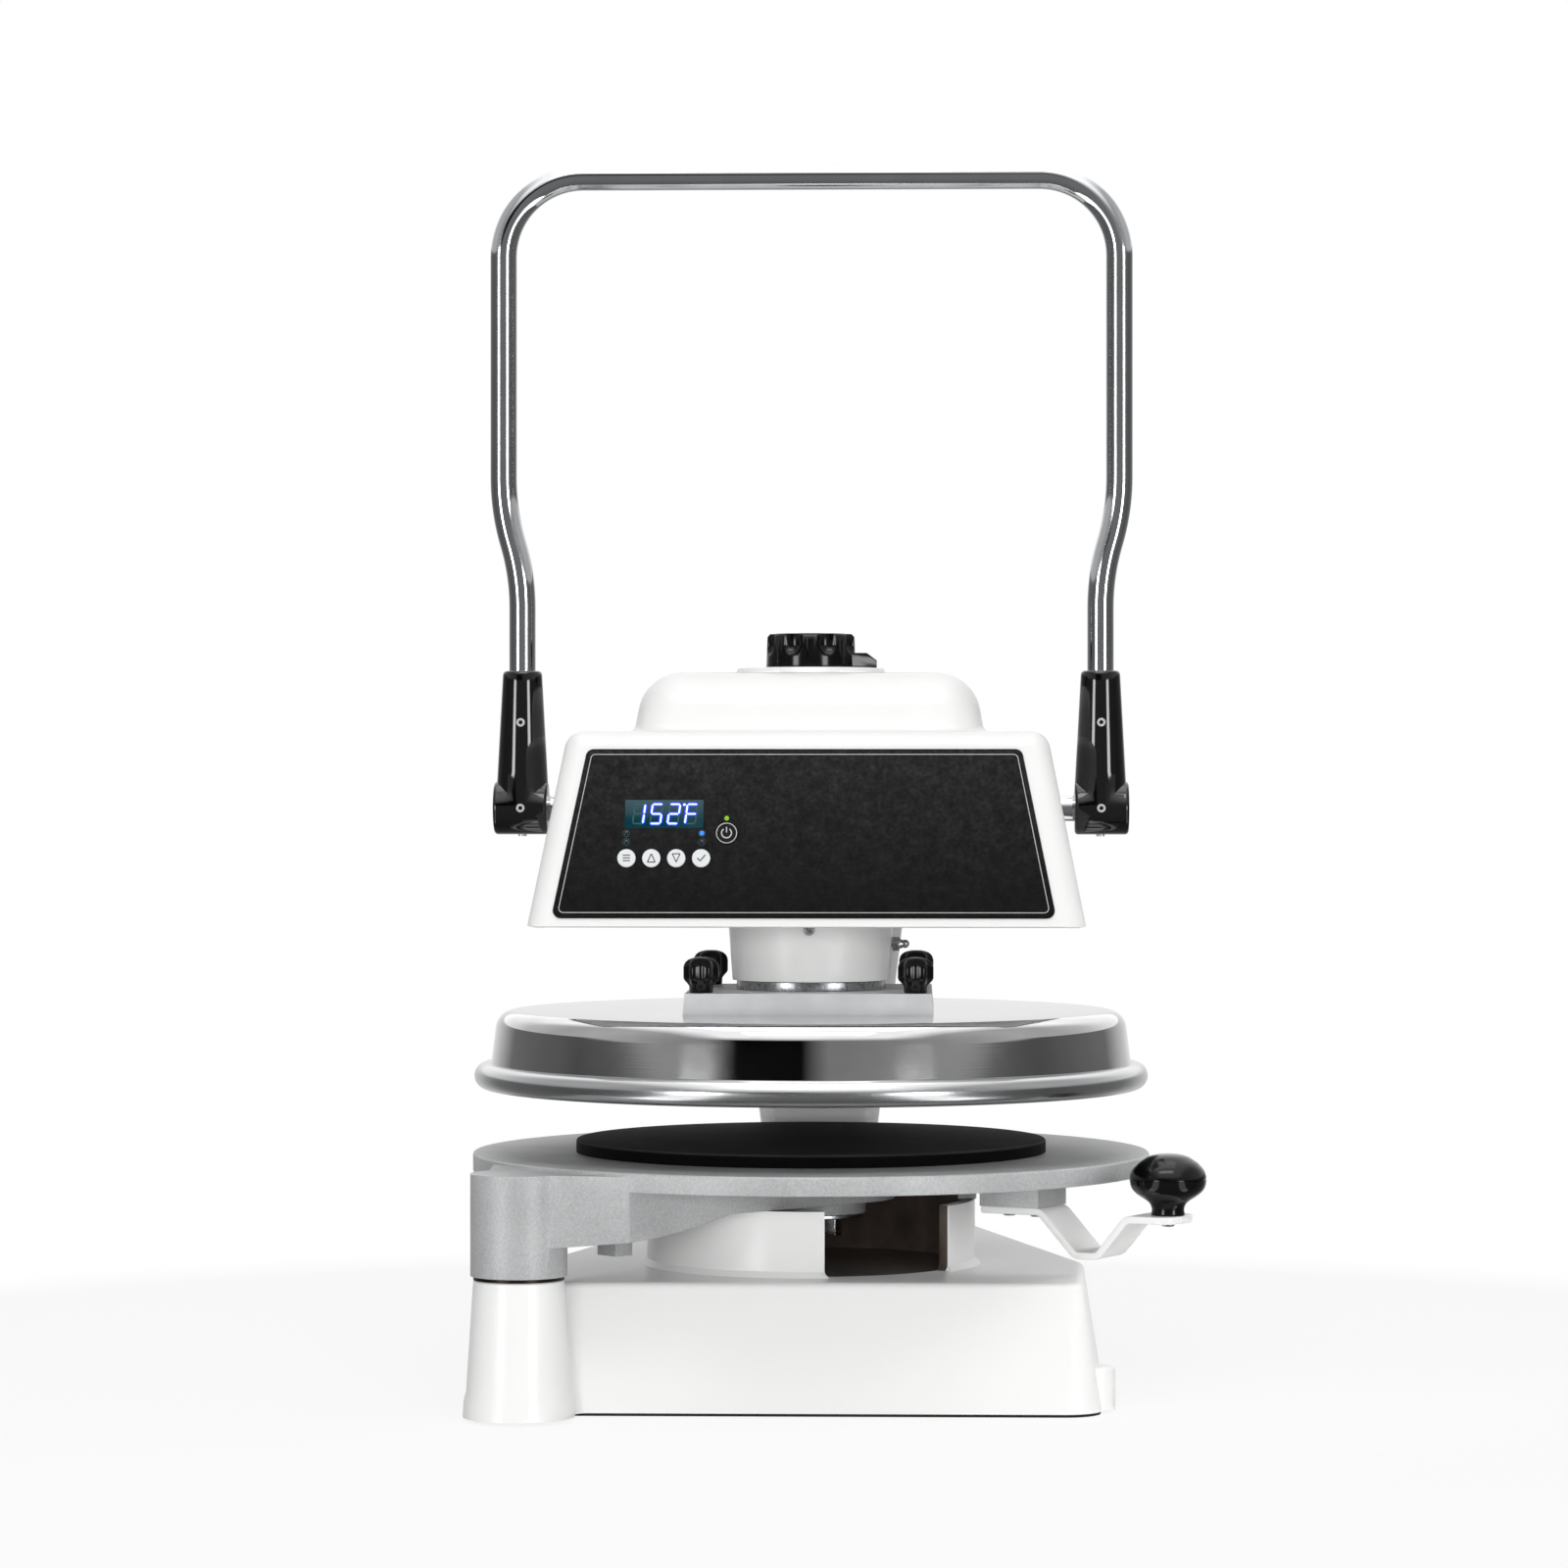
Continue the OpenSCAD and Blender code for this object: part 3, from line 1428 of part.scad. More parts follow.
// Two screws into the grip block and one into the knob; grow makes their holes
module strap_screw_set(grow) {
    along_grip() for (s = strap_screw_s) {
        z = s == knob_s ? -strap_end_rise : 0;
        translate([s, 0, z]) {
            translate([0, 0, -0.5 * grow]) cylinder(r = strap_screw_r + grow, h = strap_t + 10 + grow);
            if (grow == 0) translate([0, 0, -2.8]) cylinder(r1 = 4, r2 = 5.5, h = 2.8);
        }
    }
}

// Screws of the grip strap
module strap_screws() {
    color("#c4c6c8") strap_screw_set(0);
}

// Outline of the grip knob, a mushroom on a narrow neck: shares of its radius and of its height
grip_shares = [
    [0, 0], [0.44, 0], [0.42, 0.1], [0.475, 0.2], [0.62, 0.29], [0.78, 0.36], [0.91, 0.43], [0.985, 0.51],
    [1, 0.59], [0.965, 0.66], [0.885, 0.73], [0.775, 0.8], [0.67, 0.86], [0.585, 0.9], [0.42, 0.95],
    [0.2, 0.985], [0, 1]
];

// Round grip knob on the strap's end
module grip_knob() {
    color("#131315") difference() {
        along_grip() translate([knob_s, 0, strap_t - strap_end_rise]) {
            rotate_extrude() polygon([for (p = grip_shares) [p[0] * grip_r, p[1] * grip_h]]);
        }
        strap_screw_set(fit);
    }
}

// Plate under the centre boss
module boss_plate() {
    color("#a7a9ab") difference() {
        translate([0, 0, boss_z0 - boss_plate_t]) cylinder(r = boss_plate_r, h = boss_plate_t);
        for (x = [-1, 1]) translate([x * boss_bolt_x, 0, boss_z0 - boss_plate_t - 1]) {
            cylinder(r = boss_bolt_r + fit, h = boss_plate_t + 2);
        }
    }
}

// Hexagon bolt and round-headed screw that hold the plate
module boss_bolts() {
    color("#8d8f91") translate([0, 0, boss_z0 - boss_plate_t]) {
        for (x = [-1, 1]) translate([x * boss_bolt_x, 0, -1]) cylinder(r = boss_bolt_r, h = 20);
        translate([boss_bolt_x, 0, -boss_bolt_head]) hex(9, boss_bolt_head);
        translate([-boss_bolt_x, 0, -6]) cylinder(r1 = 6, r2 = 8, h = 6);
    }
}

base_casting();
pedestal();
foot_strip();
column_casting();
column_bolts();
guide_bush();
bearing_frame();
shaft_bushes();
head_cover();
cover_screws();
front_panel();
display_window();
indicator_lenses();
control_board();
thickness_bush();
grease_nipple();
neck_screw();
pivot_pin();
thrust_washer();
cable_gland();
handle_shaft();
handle_bar();
left_socket();
right_socket();
socket_screws();
cam();
cam_key();
shaft_collars();
ram();
roller_pin();
adapter_plate();
flange_screws();
heated_platen();
platen_cover();
heater_ring();
clamp_studs();
clamp_sleeves();
return_springs();
roller();
clamp_knob_front_left();
clamp_knob_front_right();
clamp_knob_rear_left();
clamp_knob_rear_right();
thickness_knob();
thickness_spindle();
stop_bar();
power_button();
mode_button();
up_button();
down_button();
set_button();
lower_platen();
hub_bush();
press_mat();
grip_strap();
strap_screws();
grip_knob();
boss_plate();
boss_bolts();
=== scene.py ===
"""Models, finishes and stages a manual heated dough press around its CAD frame."""

import json
import math

import bpy
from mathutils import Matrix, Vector


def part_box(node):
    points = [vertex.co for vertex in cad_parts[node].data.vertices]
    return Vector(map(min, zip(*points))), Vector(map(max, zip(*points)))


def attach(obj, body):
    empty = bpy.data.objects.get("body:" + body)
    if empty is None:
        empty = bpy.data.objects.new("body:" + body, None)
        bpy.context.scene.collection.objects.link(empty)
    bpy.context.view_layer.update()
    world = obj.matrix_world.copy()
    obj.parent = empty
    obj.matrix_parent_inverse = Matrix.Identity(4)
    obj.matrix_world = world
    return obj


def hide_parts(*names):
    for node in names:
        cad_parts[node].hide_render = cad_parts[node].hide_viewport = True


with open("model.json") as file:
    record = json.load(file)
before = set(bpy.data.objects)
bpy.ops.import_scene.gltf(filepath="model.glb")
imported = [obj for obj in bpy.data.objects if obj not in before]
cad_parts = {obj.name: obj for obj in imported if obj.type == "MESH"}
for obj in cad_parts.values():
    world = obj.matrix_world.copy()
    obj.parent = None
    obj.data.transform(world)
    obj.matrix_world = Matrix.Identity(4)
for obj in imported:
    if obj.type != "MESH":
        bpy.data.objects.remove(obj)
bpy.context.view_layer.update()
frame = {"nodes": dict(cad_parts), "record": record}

bl_info = {
    "name": "Dough Press Finish",
    "version": (1, 0, 0),
    "blender": (4, 5, 0),
    "location": "View3D > Sidebar > Dough Press",
    "description": "Models the shells and trim of a manual heated dough press and finishes every piece",
    "category": "Object",
}

# One millimetre and the distance within which points are welded, both in metres.
MM = 0.001
WELD = 0.00002
# Faces that turn less than this are one flat face.
FLAT = math.radians(0.5)
# How far the head's front and sides lean, in degrees.
FRONT_SLOPE = 12.0
SIDE_SLOPE = 11.1
FACE_TILT = math.radians(FRONT_SLOPE)
BUTTONS = ("mode_button", "up_button", "down_button", "set_button", "power_button")
RECORD = frame["record"]
BODY_OF = {node: body for body, nodes in RECORD["behaviour"]["bodies"].items() for node in nodes}
SLOT_OF = {part["node"]: part["material_slot"] for part in RECORD["subparts"]}
BOXES = {node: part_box(node) for node in frame["nodes"]}


def linear(text):
    """Linear RGBA of an sRGB hex colour."""
    parts = [int(text[i:i + 2], 16) / 255 for i in (1, 3, 5)]
    return [c / 12.92 if c <= 0.04045 else ((c + 0.055) / 1.055) ** 2.4 for c in parts] + [1.0]


def colour(label, text, description):
    """Colour property that starts at an sRGB hex value."""
    return bpy.props.FloatVectorProperty(
        name=label, description=description, subtype="COLOR", size=4, min=0.0, max=1.0, default=linear(text))


def length(label, millimetres, description):
    """Length property that starts at a size in millimetres."""
    return bpy.props.FloatProperty(
        name=label, description=description, subtype="DISTANCE", unit="LENGTH", min=0.0,
        default=millimetres * MM)


class PressSizes(bpy.types.PropertyGroup):
    """Sizes of the modelled shells and trim."""

    casting_edge: length("Casting edge", 1.6, "Edge radius of the painted castings")
    machined_edge: length("Machined edge", 0.6, "Edge radius of machined pieces")
    shell_wall: length("Cover wall", 3.8, "Wall of the head cover")
    dome_fillet: length("Dome fillet", 6.5, "Radius of the hollow between the head's shoulder and its dome")
    post_blend: length("Post blend", 9.0, "Radius of the hollow between the base and its pivot post")
    border_inset: length("Border inset", 3.6, "Distance of the printed border from the panel's edge")
    border_width: length("Border width", 0.5, "Width of the printed border")
    print_height: length("Print height", 0.08, "How far the printed border stands out")


class PressColours(bpy.types.PropertyGroup):
    """Colours of the finishes."""

    paint: colour("Paint", "#F1F1F0", "Powder coat of the castings and the cover")
    # The cavity colour is painted shade in the hollow of the pedestal ring.
    painted_cavity_shade: colour("Cavity", "#5A4F48", "Bare inside of the pedestal")
    chrome: colour("Chrome", "#D2D4D6", "Plated handle bar")
    stainless: colour("Stainless", "#D0D0D1", "Polished sheet over the upper platen")
    aluminium: colour("Aluminium", "#C9CACB", "Blasted castings")
    satin: colour("Satin aluminium", "#C6C7C8", "Turned rim of the upper platen")
    black: colour("Black", "#0B0B0C", "Enamel and phenolic")
    # The panel's foot and top tones paint light on the film: it lightens up the panel as if lit from above.
    panel: colour("Panel", "#0C0C0D", "Foot of the front panel")
    panel_painted_light_top: colour("Panel top", "#212122", "Top of the front panel")
    window: colour("Window", "#073C47", "Tinted display window")
    digits: colour("Digits", "#DCE6FF", "Lit display segments")
    glow: colour("Glow", "#0A3CFF", "Light round the lit segments")
    keys: colour("Keys", "#E0E3E4", "Small buttons")
    prints: colour("Print", "#C9CACB", "Printed border and signs")
    # The mat's tone is lifted as painted light, to offset the shade that the upper platen casts on its top.
    mat: colour("Mat", "#444444", "Silicone press mat")


def sizes():
    """Sizes in millimetres, by name."""
    values = bpy.context.scene.press_sizes
    return {name: getattr(values, name) / MM for name in PressSizes.__annotations__}


def tint(name):
    """Linear RGBA of a named colour."""
    return tuple(getattr(bpy.context.scene.press_colours, name))


def mm_box(node):
    """Lowest and highest corner of a CAD node, in millimetres."""
    low, high = BOXES[node]
    return low / MM, high / MM


def middle_height(node):
    """Height of a CAD node's middle, in millimetres."""
    low, high = mm_box(node)
    return (low.z + high.z) / 2


# Shaping

def pick(*pieces):
    """Select these pieces alone and make the first of them active."""
    bpy.ops.object.select_all(action="DESELECT")
    for piece in pieces:
        piece.select_set(True)
    bpy.context.view_layer.objects.active = pieces[0]


def skin(name, loops, ring=False, fill=True):
    """Loft a piece through loops of points in millimetres: a grid laid through them, with its seam welded."""
    rows = loops + loops[:1] if ring else loops
    count = len(loops[0])
    bpy.ops.object.select_all(action="DESELECT")
    bpy.ops.mesh.primitive_grid_add(x_subdivisions=count, y_subdivisions=len(rows) - 1, location=(0, 0, 0))
    piece = bpy.context.object
    piece.name = name
    piece.data.name = name
    points = [Vector(row[i % count]) * MM for row in rows for i in range(count + 1)]
    piece.data.vertices.foreach_set("co", [c for p in points for c in p])
    bpy.ops.object.mode_set(mode="EDIT")
    bpy.ops.mesh.select_all(action="SELECT")
    bpy.ops.mesh.remove_doubles(threshold=WELD)
    if fill:
        bpy.ops.mesh.select_all(action="SELECT")
        bpy.ops.mesh.fill_holes(sides=0)
    bpy.ops.mesh.select_all(action="SELECT")
    bpy.ops.mesh.normals_make_consistent(inside=False)
    bpy.ops.object.mode_set(mode="OBJECT")
    return piece


def circle(count, offset=0.0):
    """Evenly spaced angles of a full turn, in radians; the offset is a share of one step."""
    return [2 * math.pi * (i + offset) / count for i in range(count)]


def arc(x, z, r, start, end, steps):
    """Points of an arc in a section, from one angle in degrees to another."""
    angles = [math.radians(start + (end - start) * k / steps) for k in range(steps + 1)]
    return [(x + r * math.cos(a), z + r * math.sin(a)) for a in angles]


def turned(name, profile, centre=(0.0, 0.0), count=192):
    """Turn a section of (radius, height) points round an upright axis."""
    x, y = centre
    angles = circle(count)
    return skin(name, [[(x + r * math.cos(a), y + r * math.sin(a), z) for a in angles] for r, z in profile])


def rounded_loop(x0, x1, y0, y1, r, z, steps=12):
    """Level rounded rectangle."""
    points = arc(x1 - r, y1 - r, r, 0, 90, steps)
    points += arc(x0 + r, y1 - r, r, 90, 180, steps)
    points += arc(x0 + r, y0 + r, r, 180, 270, steps)
    points += arc(x1 - r, y0 + r, r, 270, 360, steps)
    return [(x, y, z) for x, y in points]


def modify(piece, kind, **settings):
    """Add a modifier and apply it."""
    pick(piece)
    modifier = piece.modifiers.new(kind.lower(), kind)
    for name, value in settings.items():
        setattr(modifier, name, value)
    bpy.ops.object.modifier_apply(modifier=modifier.name)


def joined(name, pieces):
    """Join pieces into one."""
    pick(*pieces)
    if len(pieces) > 1:
        bpy.ops.object.join()
    pieces[0].name = name
    pieces[0].data.name = name
    return pieces[0]


def copied(node, edge, segments, angle):
    """Copy of a CAD node with its triangles welded and its edges rounded."""
    piece = bpy.data.objects.new(node + "_form", frame["nodes"][node].data.copy())
    bpy.context.scene.collection.objects.link(piece)
    pick(piece)
    if piece.data.has_custom_normals:
        bpy.ops.mesh.customdata_custom_splitnormals_clear()
    bpy.ops.object.mode_set(mode="EDIT")
    bpy.ops.mesh.select_all(action="SELECT")
    bpy.ops.mesh.remove_doubles(threshold=WELD)
    bpy.ops.mesh.dissolve_limited(angle_limit=FLAT)
    bpy.ops.object.mode_set(mode="OBJECT")
    if edge:
        modify(piece, "BEVEL", width=edge * MM, segments=segments, limit_method="ANGLE",
               angle_limit=math.radians(angle), miter_outer="MITER_ARC", harden_normals=False)
    return piece


def cut(piece, cutters, operation="DIFFERENCE"):
    """Cut shapes out of a piece, or grow them onto it by a union."""
    tool = joined("cutter", cutters)
    modify(piece, "BOOLEAN", operation=operation, solver="EXACT", object=tool)
    bpy.data.objects.remove(tool)


def rod(r, start, end, count=48):
    """Round rod between two points in millimetres, for cutting and for trim."""
    axis = (Vector(end) - Vector(start)).normalized()
    side = axis.orthogonal().normalized()
    other = axis.cross(side)
    rim = [r * (math.cos(a) * side + math.sin(a) * other) for a in circle(count)]
    return skin("rod", [[Vector(p) + v for v in rim] for p in (start, end)])


def dress(piece, material, body, slot, *stands_for, angle=35):
    """Give a piece its finish, the body that it moves with and the CAD nodes that it stands for."""
    pick(piece)
    bpy.ops.object.shade_smooth_by_angle(angle=math.radians(angle))
    piece.data.materials.clear()
    piece.data.materials.append(material)
    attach(piece, body)
    if stands_for:
        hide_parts(*stands_for)


def stand_in(piece, material, node, angle=35):
    """Dress a piece that stands for a CAD node."""
    dress(piece, material, BODY_OF[node], SLOT_OF[node], node, angle=angle)


def refined(node, material, edge, segments=3, angle=35, shade=35):
    """Copy a CAD node, round its edges above an angle, and dress the copy in the node's place."""
    stand_in(copied(node, edge, segments, angle), material, node, angle=shade)


# Finishes

def plug(tree, node, inputs):
    """Fill a node's inputs: a node or one of its outputs is linked, and anything else is a value."""
    for socket, value in inputs.items():
        if isinstance(value, bpy.types.Node):
            value = next(output for output in value.outputs if output.enabled)
        if isinstance(value, bpy.types.NodeSocket):
            tree.links.new(value, node.inputs[socket])
        else:
            node.inputs[socket].default_value = value


def add(tree, kind, inputs=None, stops=(), **settings):
    """Add a node with its settings and links; a colour ramp also takes its stops."""
    node = tree.nodes.new("ShaderNode" + kind)
    for name, value in settings.items():
        setattr(node, name, value)
    plug(tree, node, inputs or {})
    if stops:
        elements = node.color_ramp.elements
        elements[0].position = stops[0][0]
        elements[1].position = stops[-1][0]
        for place, _ in stops[1:-1]:
            elements.new(place)
        for element, (_, rgba) in zip(elements, stops):
            element.color = rgba
    return node


def finish(name, **values):
    """Material with values on its shader's sockets, its tree and its shader; an old one comes alone."""
    material = bpy.data.materials.get(name)
    if material:
        return material, None, None
    material = bpy.data.materials.new(name)
    material.use_nodes = True
    shader = material.node_tree.nodes["Principled BSDF"]
    plug(material.node_tree, shader, {socket.replace("_", " "): value for socket, value in values.items()})
    return material, material.node_tree, shader


def around_axis(tree):
    """Coordinates of radius and height, so that a pattern runs in rings round the press axis."""
    where = add(tree, "SeparateXYZ", {"Vector": add(tree, "TexCoord").outputs["Object"]}).outputs
    flat = add(tree, "CombineXYZ", {"X": where["X"], "Y": where["Y"]})
    radius = add(tree, "VectorMath", {0: flat}, operation="LENGTH")
    return add(tree, "CombineXYZ", {"X": radius, "Z": where["Z"]})


def grain(tree, millimetres, detail=2.0, rings=False):
    """Pattern whose grains have a real size, on the object's own coordinates or in rings round the axis."""
    where = around_axis(tree) if rings else add(tree, "TexCoord").outputs["Object"]
    return add(tree, "TexNoise", {"Vector": where, "Scale": 1 / (millimetres * MM), "Detail": detail})


def climb(tree, low, high):
    """Pattern that grows from 0 to 1 between two heights in millimetres."""
    height = add(tree, "SeparateXYZ", {"Vector": add(tree, "TexCoord").outputs["Object"]}).outputs["Z"]
    return add(tree, "MapRange", {"Value": height, "From Min": low * MM, "From Max": high * MM})


def dimmed(rgba, share):
    """Darker version of a colour."""
    return tuple(c * share for c in rgba[:3]) + (1.0,)


def shades(name, share):
    """Darker tone of a named colour, and the colour."""
    return dimmed(tint(name), share), tint(name)


def grey(value):
    """Even grey, in linear light."""
    return (value, value, value, 1.0)


def mottled(name, tones, clouds, span=(0.3, 0.7), rough=None, relief=None, socket="Base Color", **values):
    """Material whose colour passes between two tones over a span of a pattern.

    A pattern is its grain in millimetres, its detail, and True where it runs in rings. Roughness follows a
    pattern between two values, and relief follows one with a depth in millimetres.
    """
    material, tree, shader = finish(name, **values)
    if tree:
        ramp = add(tree, "ValToRGB", {"Fac": grain(tree, *clouds)}, stops=tuple(zip(span, tones)))
        plug(tree, shader, {socket: ramp})
        if rough:
            pattern, low, high = rough
            inputs = {"Value": grain(tree, *pattern), "To Min": low, "To Max": high}
            plug(tree, shader, {"Roughness": add(tree, "MapRange", inputs)})
        if relief:
            pattern, depth = relief
            inputs = {"Height": grain(tree, *pattern), "Distance": depth * MM}
            plug(tree, shader, {"Normal": add(tree, "Bump", inputs)})
    return material


# The sheen of baked powder coat, and the grain and depth of its orange peel in millimetres.
COAT = {"Roughness": 0.34, "IOR": 1.42, "Coat_Weight": 0.15, "Coat_Roughness": 0.16}
PEEL_GRAIN = 2.2
PEEL_DEPTH = 0.02


def powder_coat():
    """White powder coat, sprayed and baked: a soft sheen over a faint orange peel, with faint clouds."""
    return mottled("powder_coated_iron", shades("paint", 0.965), (60, 3), rough=((14,), 0.29, 0.4),
                   relief=((PEEL_GRAIN,), PEEL_DEPTH), **COAT)


def painted_shade_inside(name, rim):
    """Powder coat outside a radius in millimetres; inside it a dark brown is painted as the shade in the
    hollow.
    """
    material, tree, shader = finish(name, **COAT)
    if tree:
        radius = add(tree, "SeparateXYZ", {"Vector": around_axis(tree)}).outputs["X"]
        outside = add(tree, "Math", {0: radius, 1: rim * MM}, operation="GREATER_THAN")
        tones = shades("painted_cavity_shade", 0.5)
        # Painted shade: a dark brown stands for the shade inside the ring.
        cavity_shade_tone = add(tree, "ValToRGB", {"Fac": grain(tree, 18, 4)}, stops=((0.3, tones[0]), (0.7, tones[1])))
        mixed = add(tree, "Mix", {0: outside, 6: cavity_shade_tone, 7: tint("paint")}, data_type="RGBA")
        peel = add(tree, "Bump", {"Height": grain(tree, PEEL_GRAIN), "Distance": PEEL_DEPTH * MM})
        plug(tree, shader, {"Base Color": mixed, "Normal": peel})
    return material


def pedestal_paint():
    """Paint of the pedestal ring, with painted shade from 5 mm inside its outer face, which makes the gate
    dark.
    """
    return painted_shade_inside("powder_coated_ring", mm_box("pedestal")[1].x - 5)


def base_paint():
    """Paint of the base, with painted shade inside the pedestal ring, from 12 mm inside the ring's outer
    face.
    """
    return painted_shade_inside("powder_coated_base", mm_box("pedestal")[1].x - 12)


def chrome_plate():
    """Bright chrome on a drawn bar: a mirror with faint waves and a few hazy stretches."""
    return mottled("chromed_drawn_steel", shades("chrome", 0.9), (25, 3), rough=((25, 3), 0.05, 0.1),
                   relief=((60, 1), 0.004), Metallic=1.0, Roughness=0.14)


def spun_stainless():
    """Spun and polished stainless: a mirror with hazy spots and hairline rings, drawn coarser to show."""
    return mottled("spun_stainless_sheet", shades("stainless", 0.86), (35, 4), span=(0.3, 0.75),
                   rough=((35, 4), 0.035, 0.08), relief=((0.9, 3, True), 0.003), Metallic=1.0, Roughness=0.06)


def turned_aluminium():
    """Turned aluminium: satin, with tool rings that are drawn coarser than real ones to show."""
    rings = (1.4, 3, True)
    return mottled("turned_aluminium", shades("satin", 0.92), rings, span=(0.25, 0.75),
                   rough=((30, 3), 0.18, 0.28), relief=(rings, 0.008), Metallic=1.0, Roughness=0.24)


def blasted_aluminium():
    """Bead-blasted cast aluminium: dull grey grit, drawn coarser than real grit, with soft darker clouds."""
    material, tree, shader = finish("bead_blasted_aluminium", Metallic=0.28, Roughness=0.5)
    if tree:
        grit = grain(tree, 1.6, 4)
        tones = shades("aluminium", 0.84)
        cloudy = add(tree, "ValToRGB", {"Fac": grain(tree, 45, 4)}, stops=((0.3, tones[0]), (0.7, tones[1])))
        gritty = add(tree, "ValToRGB", {"Fac": grit}, stops=((0.3, grey(0.76)), (0.7, grey(1.0))))
        mixed = add(tree, "Mix", {0: 1.0, 6: cloudy, 7: gritty}, data_type="RGBA", blend_type="MULTIPLY")
        rough = add(tree, "MapRange", {"Value": grit, "To Min": 0.42, "To Max": 0.6})
        relief = add(tree, "Bump", {"Height": grit, "Distance": 0.08 * MM})
        plug(tree, shader, {"Base Color": mixed, "Roughness": rough, "Normal": relief})
    return material


def milled_aluminium():
    """Milled and lightly brushed aluminium plate: pale and satin, with faint clouds."""
    return mottled("milled_aluminium_plate", (linear("#D6D7D8"), linear("#E6E7E8")), (30, 4),
                   rough=((30, 4), 0.36, 0.5), relief=((1.2, 3), 0.02), Metallic=0.3, Roughness=0.42)


def bright_zinc():
    """Bright zinc on small screws: pale grey and half dull, so that they stand out on the black enamel."""
    return mottled("bright_zinc_plate", (linear("#C9CBCD"), linear("#E2E3E5")), (1.5, 3),
                   Metallic=0.45, Roughness=0.34)


def machined_steel():
    """Machined and zinc-plated steel: mid grey, half bright, faint tool marks."""
    return mottled("machined_plated_steel", (linear("#9C9EA1"), linear("#C6C8CA")), (3, 4),
                   rough=((3, 4), 0.2, 0.38), relief=((0.8,), 0.01), Metallic=1.0, Roughness=0.28)


def grey_iron():
    """Machined grey iron: dark grey and fine-grained."""
    return mottled("machined_grey_iron", (linear("#55575A"), linear("#77797C")), (2, 4),
                   relief=((2, 4), 0.03), Metallic=0.9, Roughness=0.5)


def bearing_bronze():
    """Turned bearing bronze: warm and satin."""
    return mottled("turned_bearing_bronze", (linear("#8E6B33"), linear("#B48B4C")), (3, 3),
                   relief=((3, 3), 0.01), Metallic=1.0, Roughness=0.3)


def shaded_washer_bronze():
    """Bronze washer painted dark as the shade in its gap, seen as a thin dark line."""
    return mottled("painted_shade_bronze", (linear("#1D1712"), linear("#35291C")), (4, 3),
                   Metallic=0.8, Roughness=0.4)


def black_enamel():
    """Stoved black enamel on a casting: a deep wet gloss that mirrors the lamps, over an uneven skin."""
    return mottled("stoved_black_enamel", shades("black", 0.6), (20, 3), rough=((6,), 0.04, 0.09),
                   relief=((9, 1), 0.03), Roughness=0.07, IOR=1.6)


def black_phenolic():
    """Moulded phenolic: jet black with a hard polish."""
    return mottled("moulded_black_phenolic", shades("black", 0.7), (8, 3), rough=((5, 3), 0.09, 0.17),
                   relief=((4,), 0.01), Roughness=0.12, IOR=1.5, Specular_IOR_Level=0.32)


def printed_film():
    """Printed polyester film: dull, with clouds and fleck; black at its foot, and lightened towards charcoal
    at its top as painted light from above.
    """
    material, tree, shader = finish("printed_polyester_film", Roughness=0.42, Specular_IOR_Level=0.12)
    if tree:
        low, high = mm_box("front_panel")
        clouds = grain(tree, 7, 12)
        fleck = grain(tree, 2.6, 3)
        # Painted light: the film's colour runs from the dark foot tone up to the lighter top tone.
        mixed = add(tree, "ValToRGB", {"Fac": climb(tree, low.z, high.z)},
                    stops=((0.1, tint("panel")), (1.0, tint("panel_painted_light_top"))))
        cloudy = add(tree, "ValToRGB", {"Fac": clouds}, stops=((0.35, grey(0.6)), (0.7, grey(1.45))))
        flecked = add(tree, "ValToRGB", {"Fac": fleck}, stops=((0.3, grey(0.5)), (0.75, grey(1.6))))
        for layer in (cloudy, flecked):
            mixed = add(tree, "Mix", {0: 1.0, 6: mixed, 7: layer}, data_type="RGBA", blend_type="MULTIPLY")
        rough = add(tree, "MapRange", {"Value": clouds, "To Min": 0.36, "To Max": 0.5})
        relief = add(tree, "Bump", {"Height": fleck, "Distance": 0.008 * MM})
        plug(tree, shader, {"Base Color": mixed, "Roughness": rough, "Normal": relief})
    return material


def display_lens():
    """Tinted acrylic window: dark teal and glossy, with a faint grain of the filter behind it."""
    return mottled("tinted_acrylic_window", shades("window", 0.8), (4, 2), Roughness=0.12, IOR=1.49)


def lit(name, rgba, strength):
    """Light-emitting plastic: an even glow over a diffuse cap."""
    return mottled(name, (dimmed(rgba, 0.88), rgba), (0.9, 1), span=(0.2, 0.8), socket="Emission Color",
                   Base_Color=dimmed(rgba, 0.4), Roughness=0.4, Emission_Strength=strength)


def unlit_segment():
    """Unlit display segment: a grey-teal shape that barely shows behind the filter."""
    return mottled("unlit_segment_plastic", (linear("#20484A"), linear("#2A4C4E")), (2,), Roughness=0.35)


def dark_lens():
    """Unlit lamp lens: nearly black with a blue cast and a polished top."""
    return mottled("unlit_lamp_lens", (linear("#08161B"), linear("#0E2A33")), (1.5,),
                   Roughness=0.15, IOR=1.49)


def white_key():
    """Moulded white key cap: matt, very slightly cool."""
    return mottled("moulded_white_abs", shades("keys", 0.96), (3,), relief=((0.7,), 0.006),
                   Roughness=0.4, IOR=1.5)


def pale_ink():
    """Screen-printed pale grey ink: flat and slightly uneven."""
    return mottled("screen_printed_pale_ink", shades("prints", 0.8), (1.5, 3), span=(0.25, 0.75),
                   Roughness=0.5)


def dark_ink():
    """Screen-printed dark ink on the keys: flat and slightly uneven."""
    return mottled("screen_printed_dark_ink", (linear("#2A2C2E"), linear("#3B3D40")), (1.5, 3),
                   span=(0.25, 0.75), Roughness=0.5)


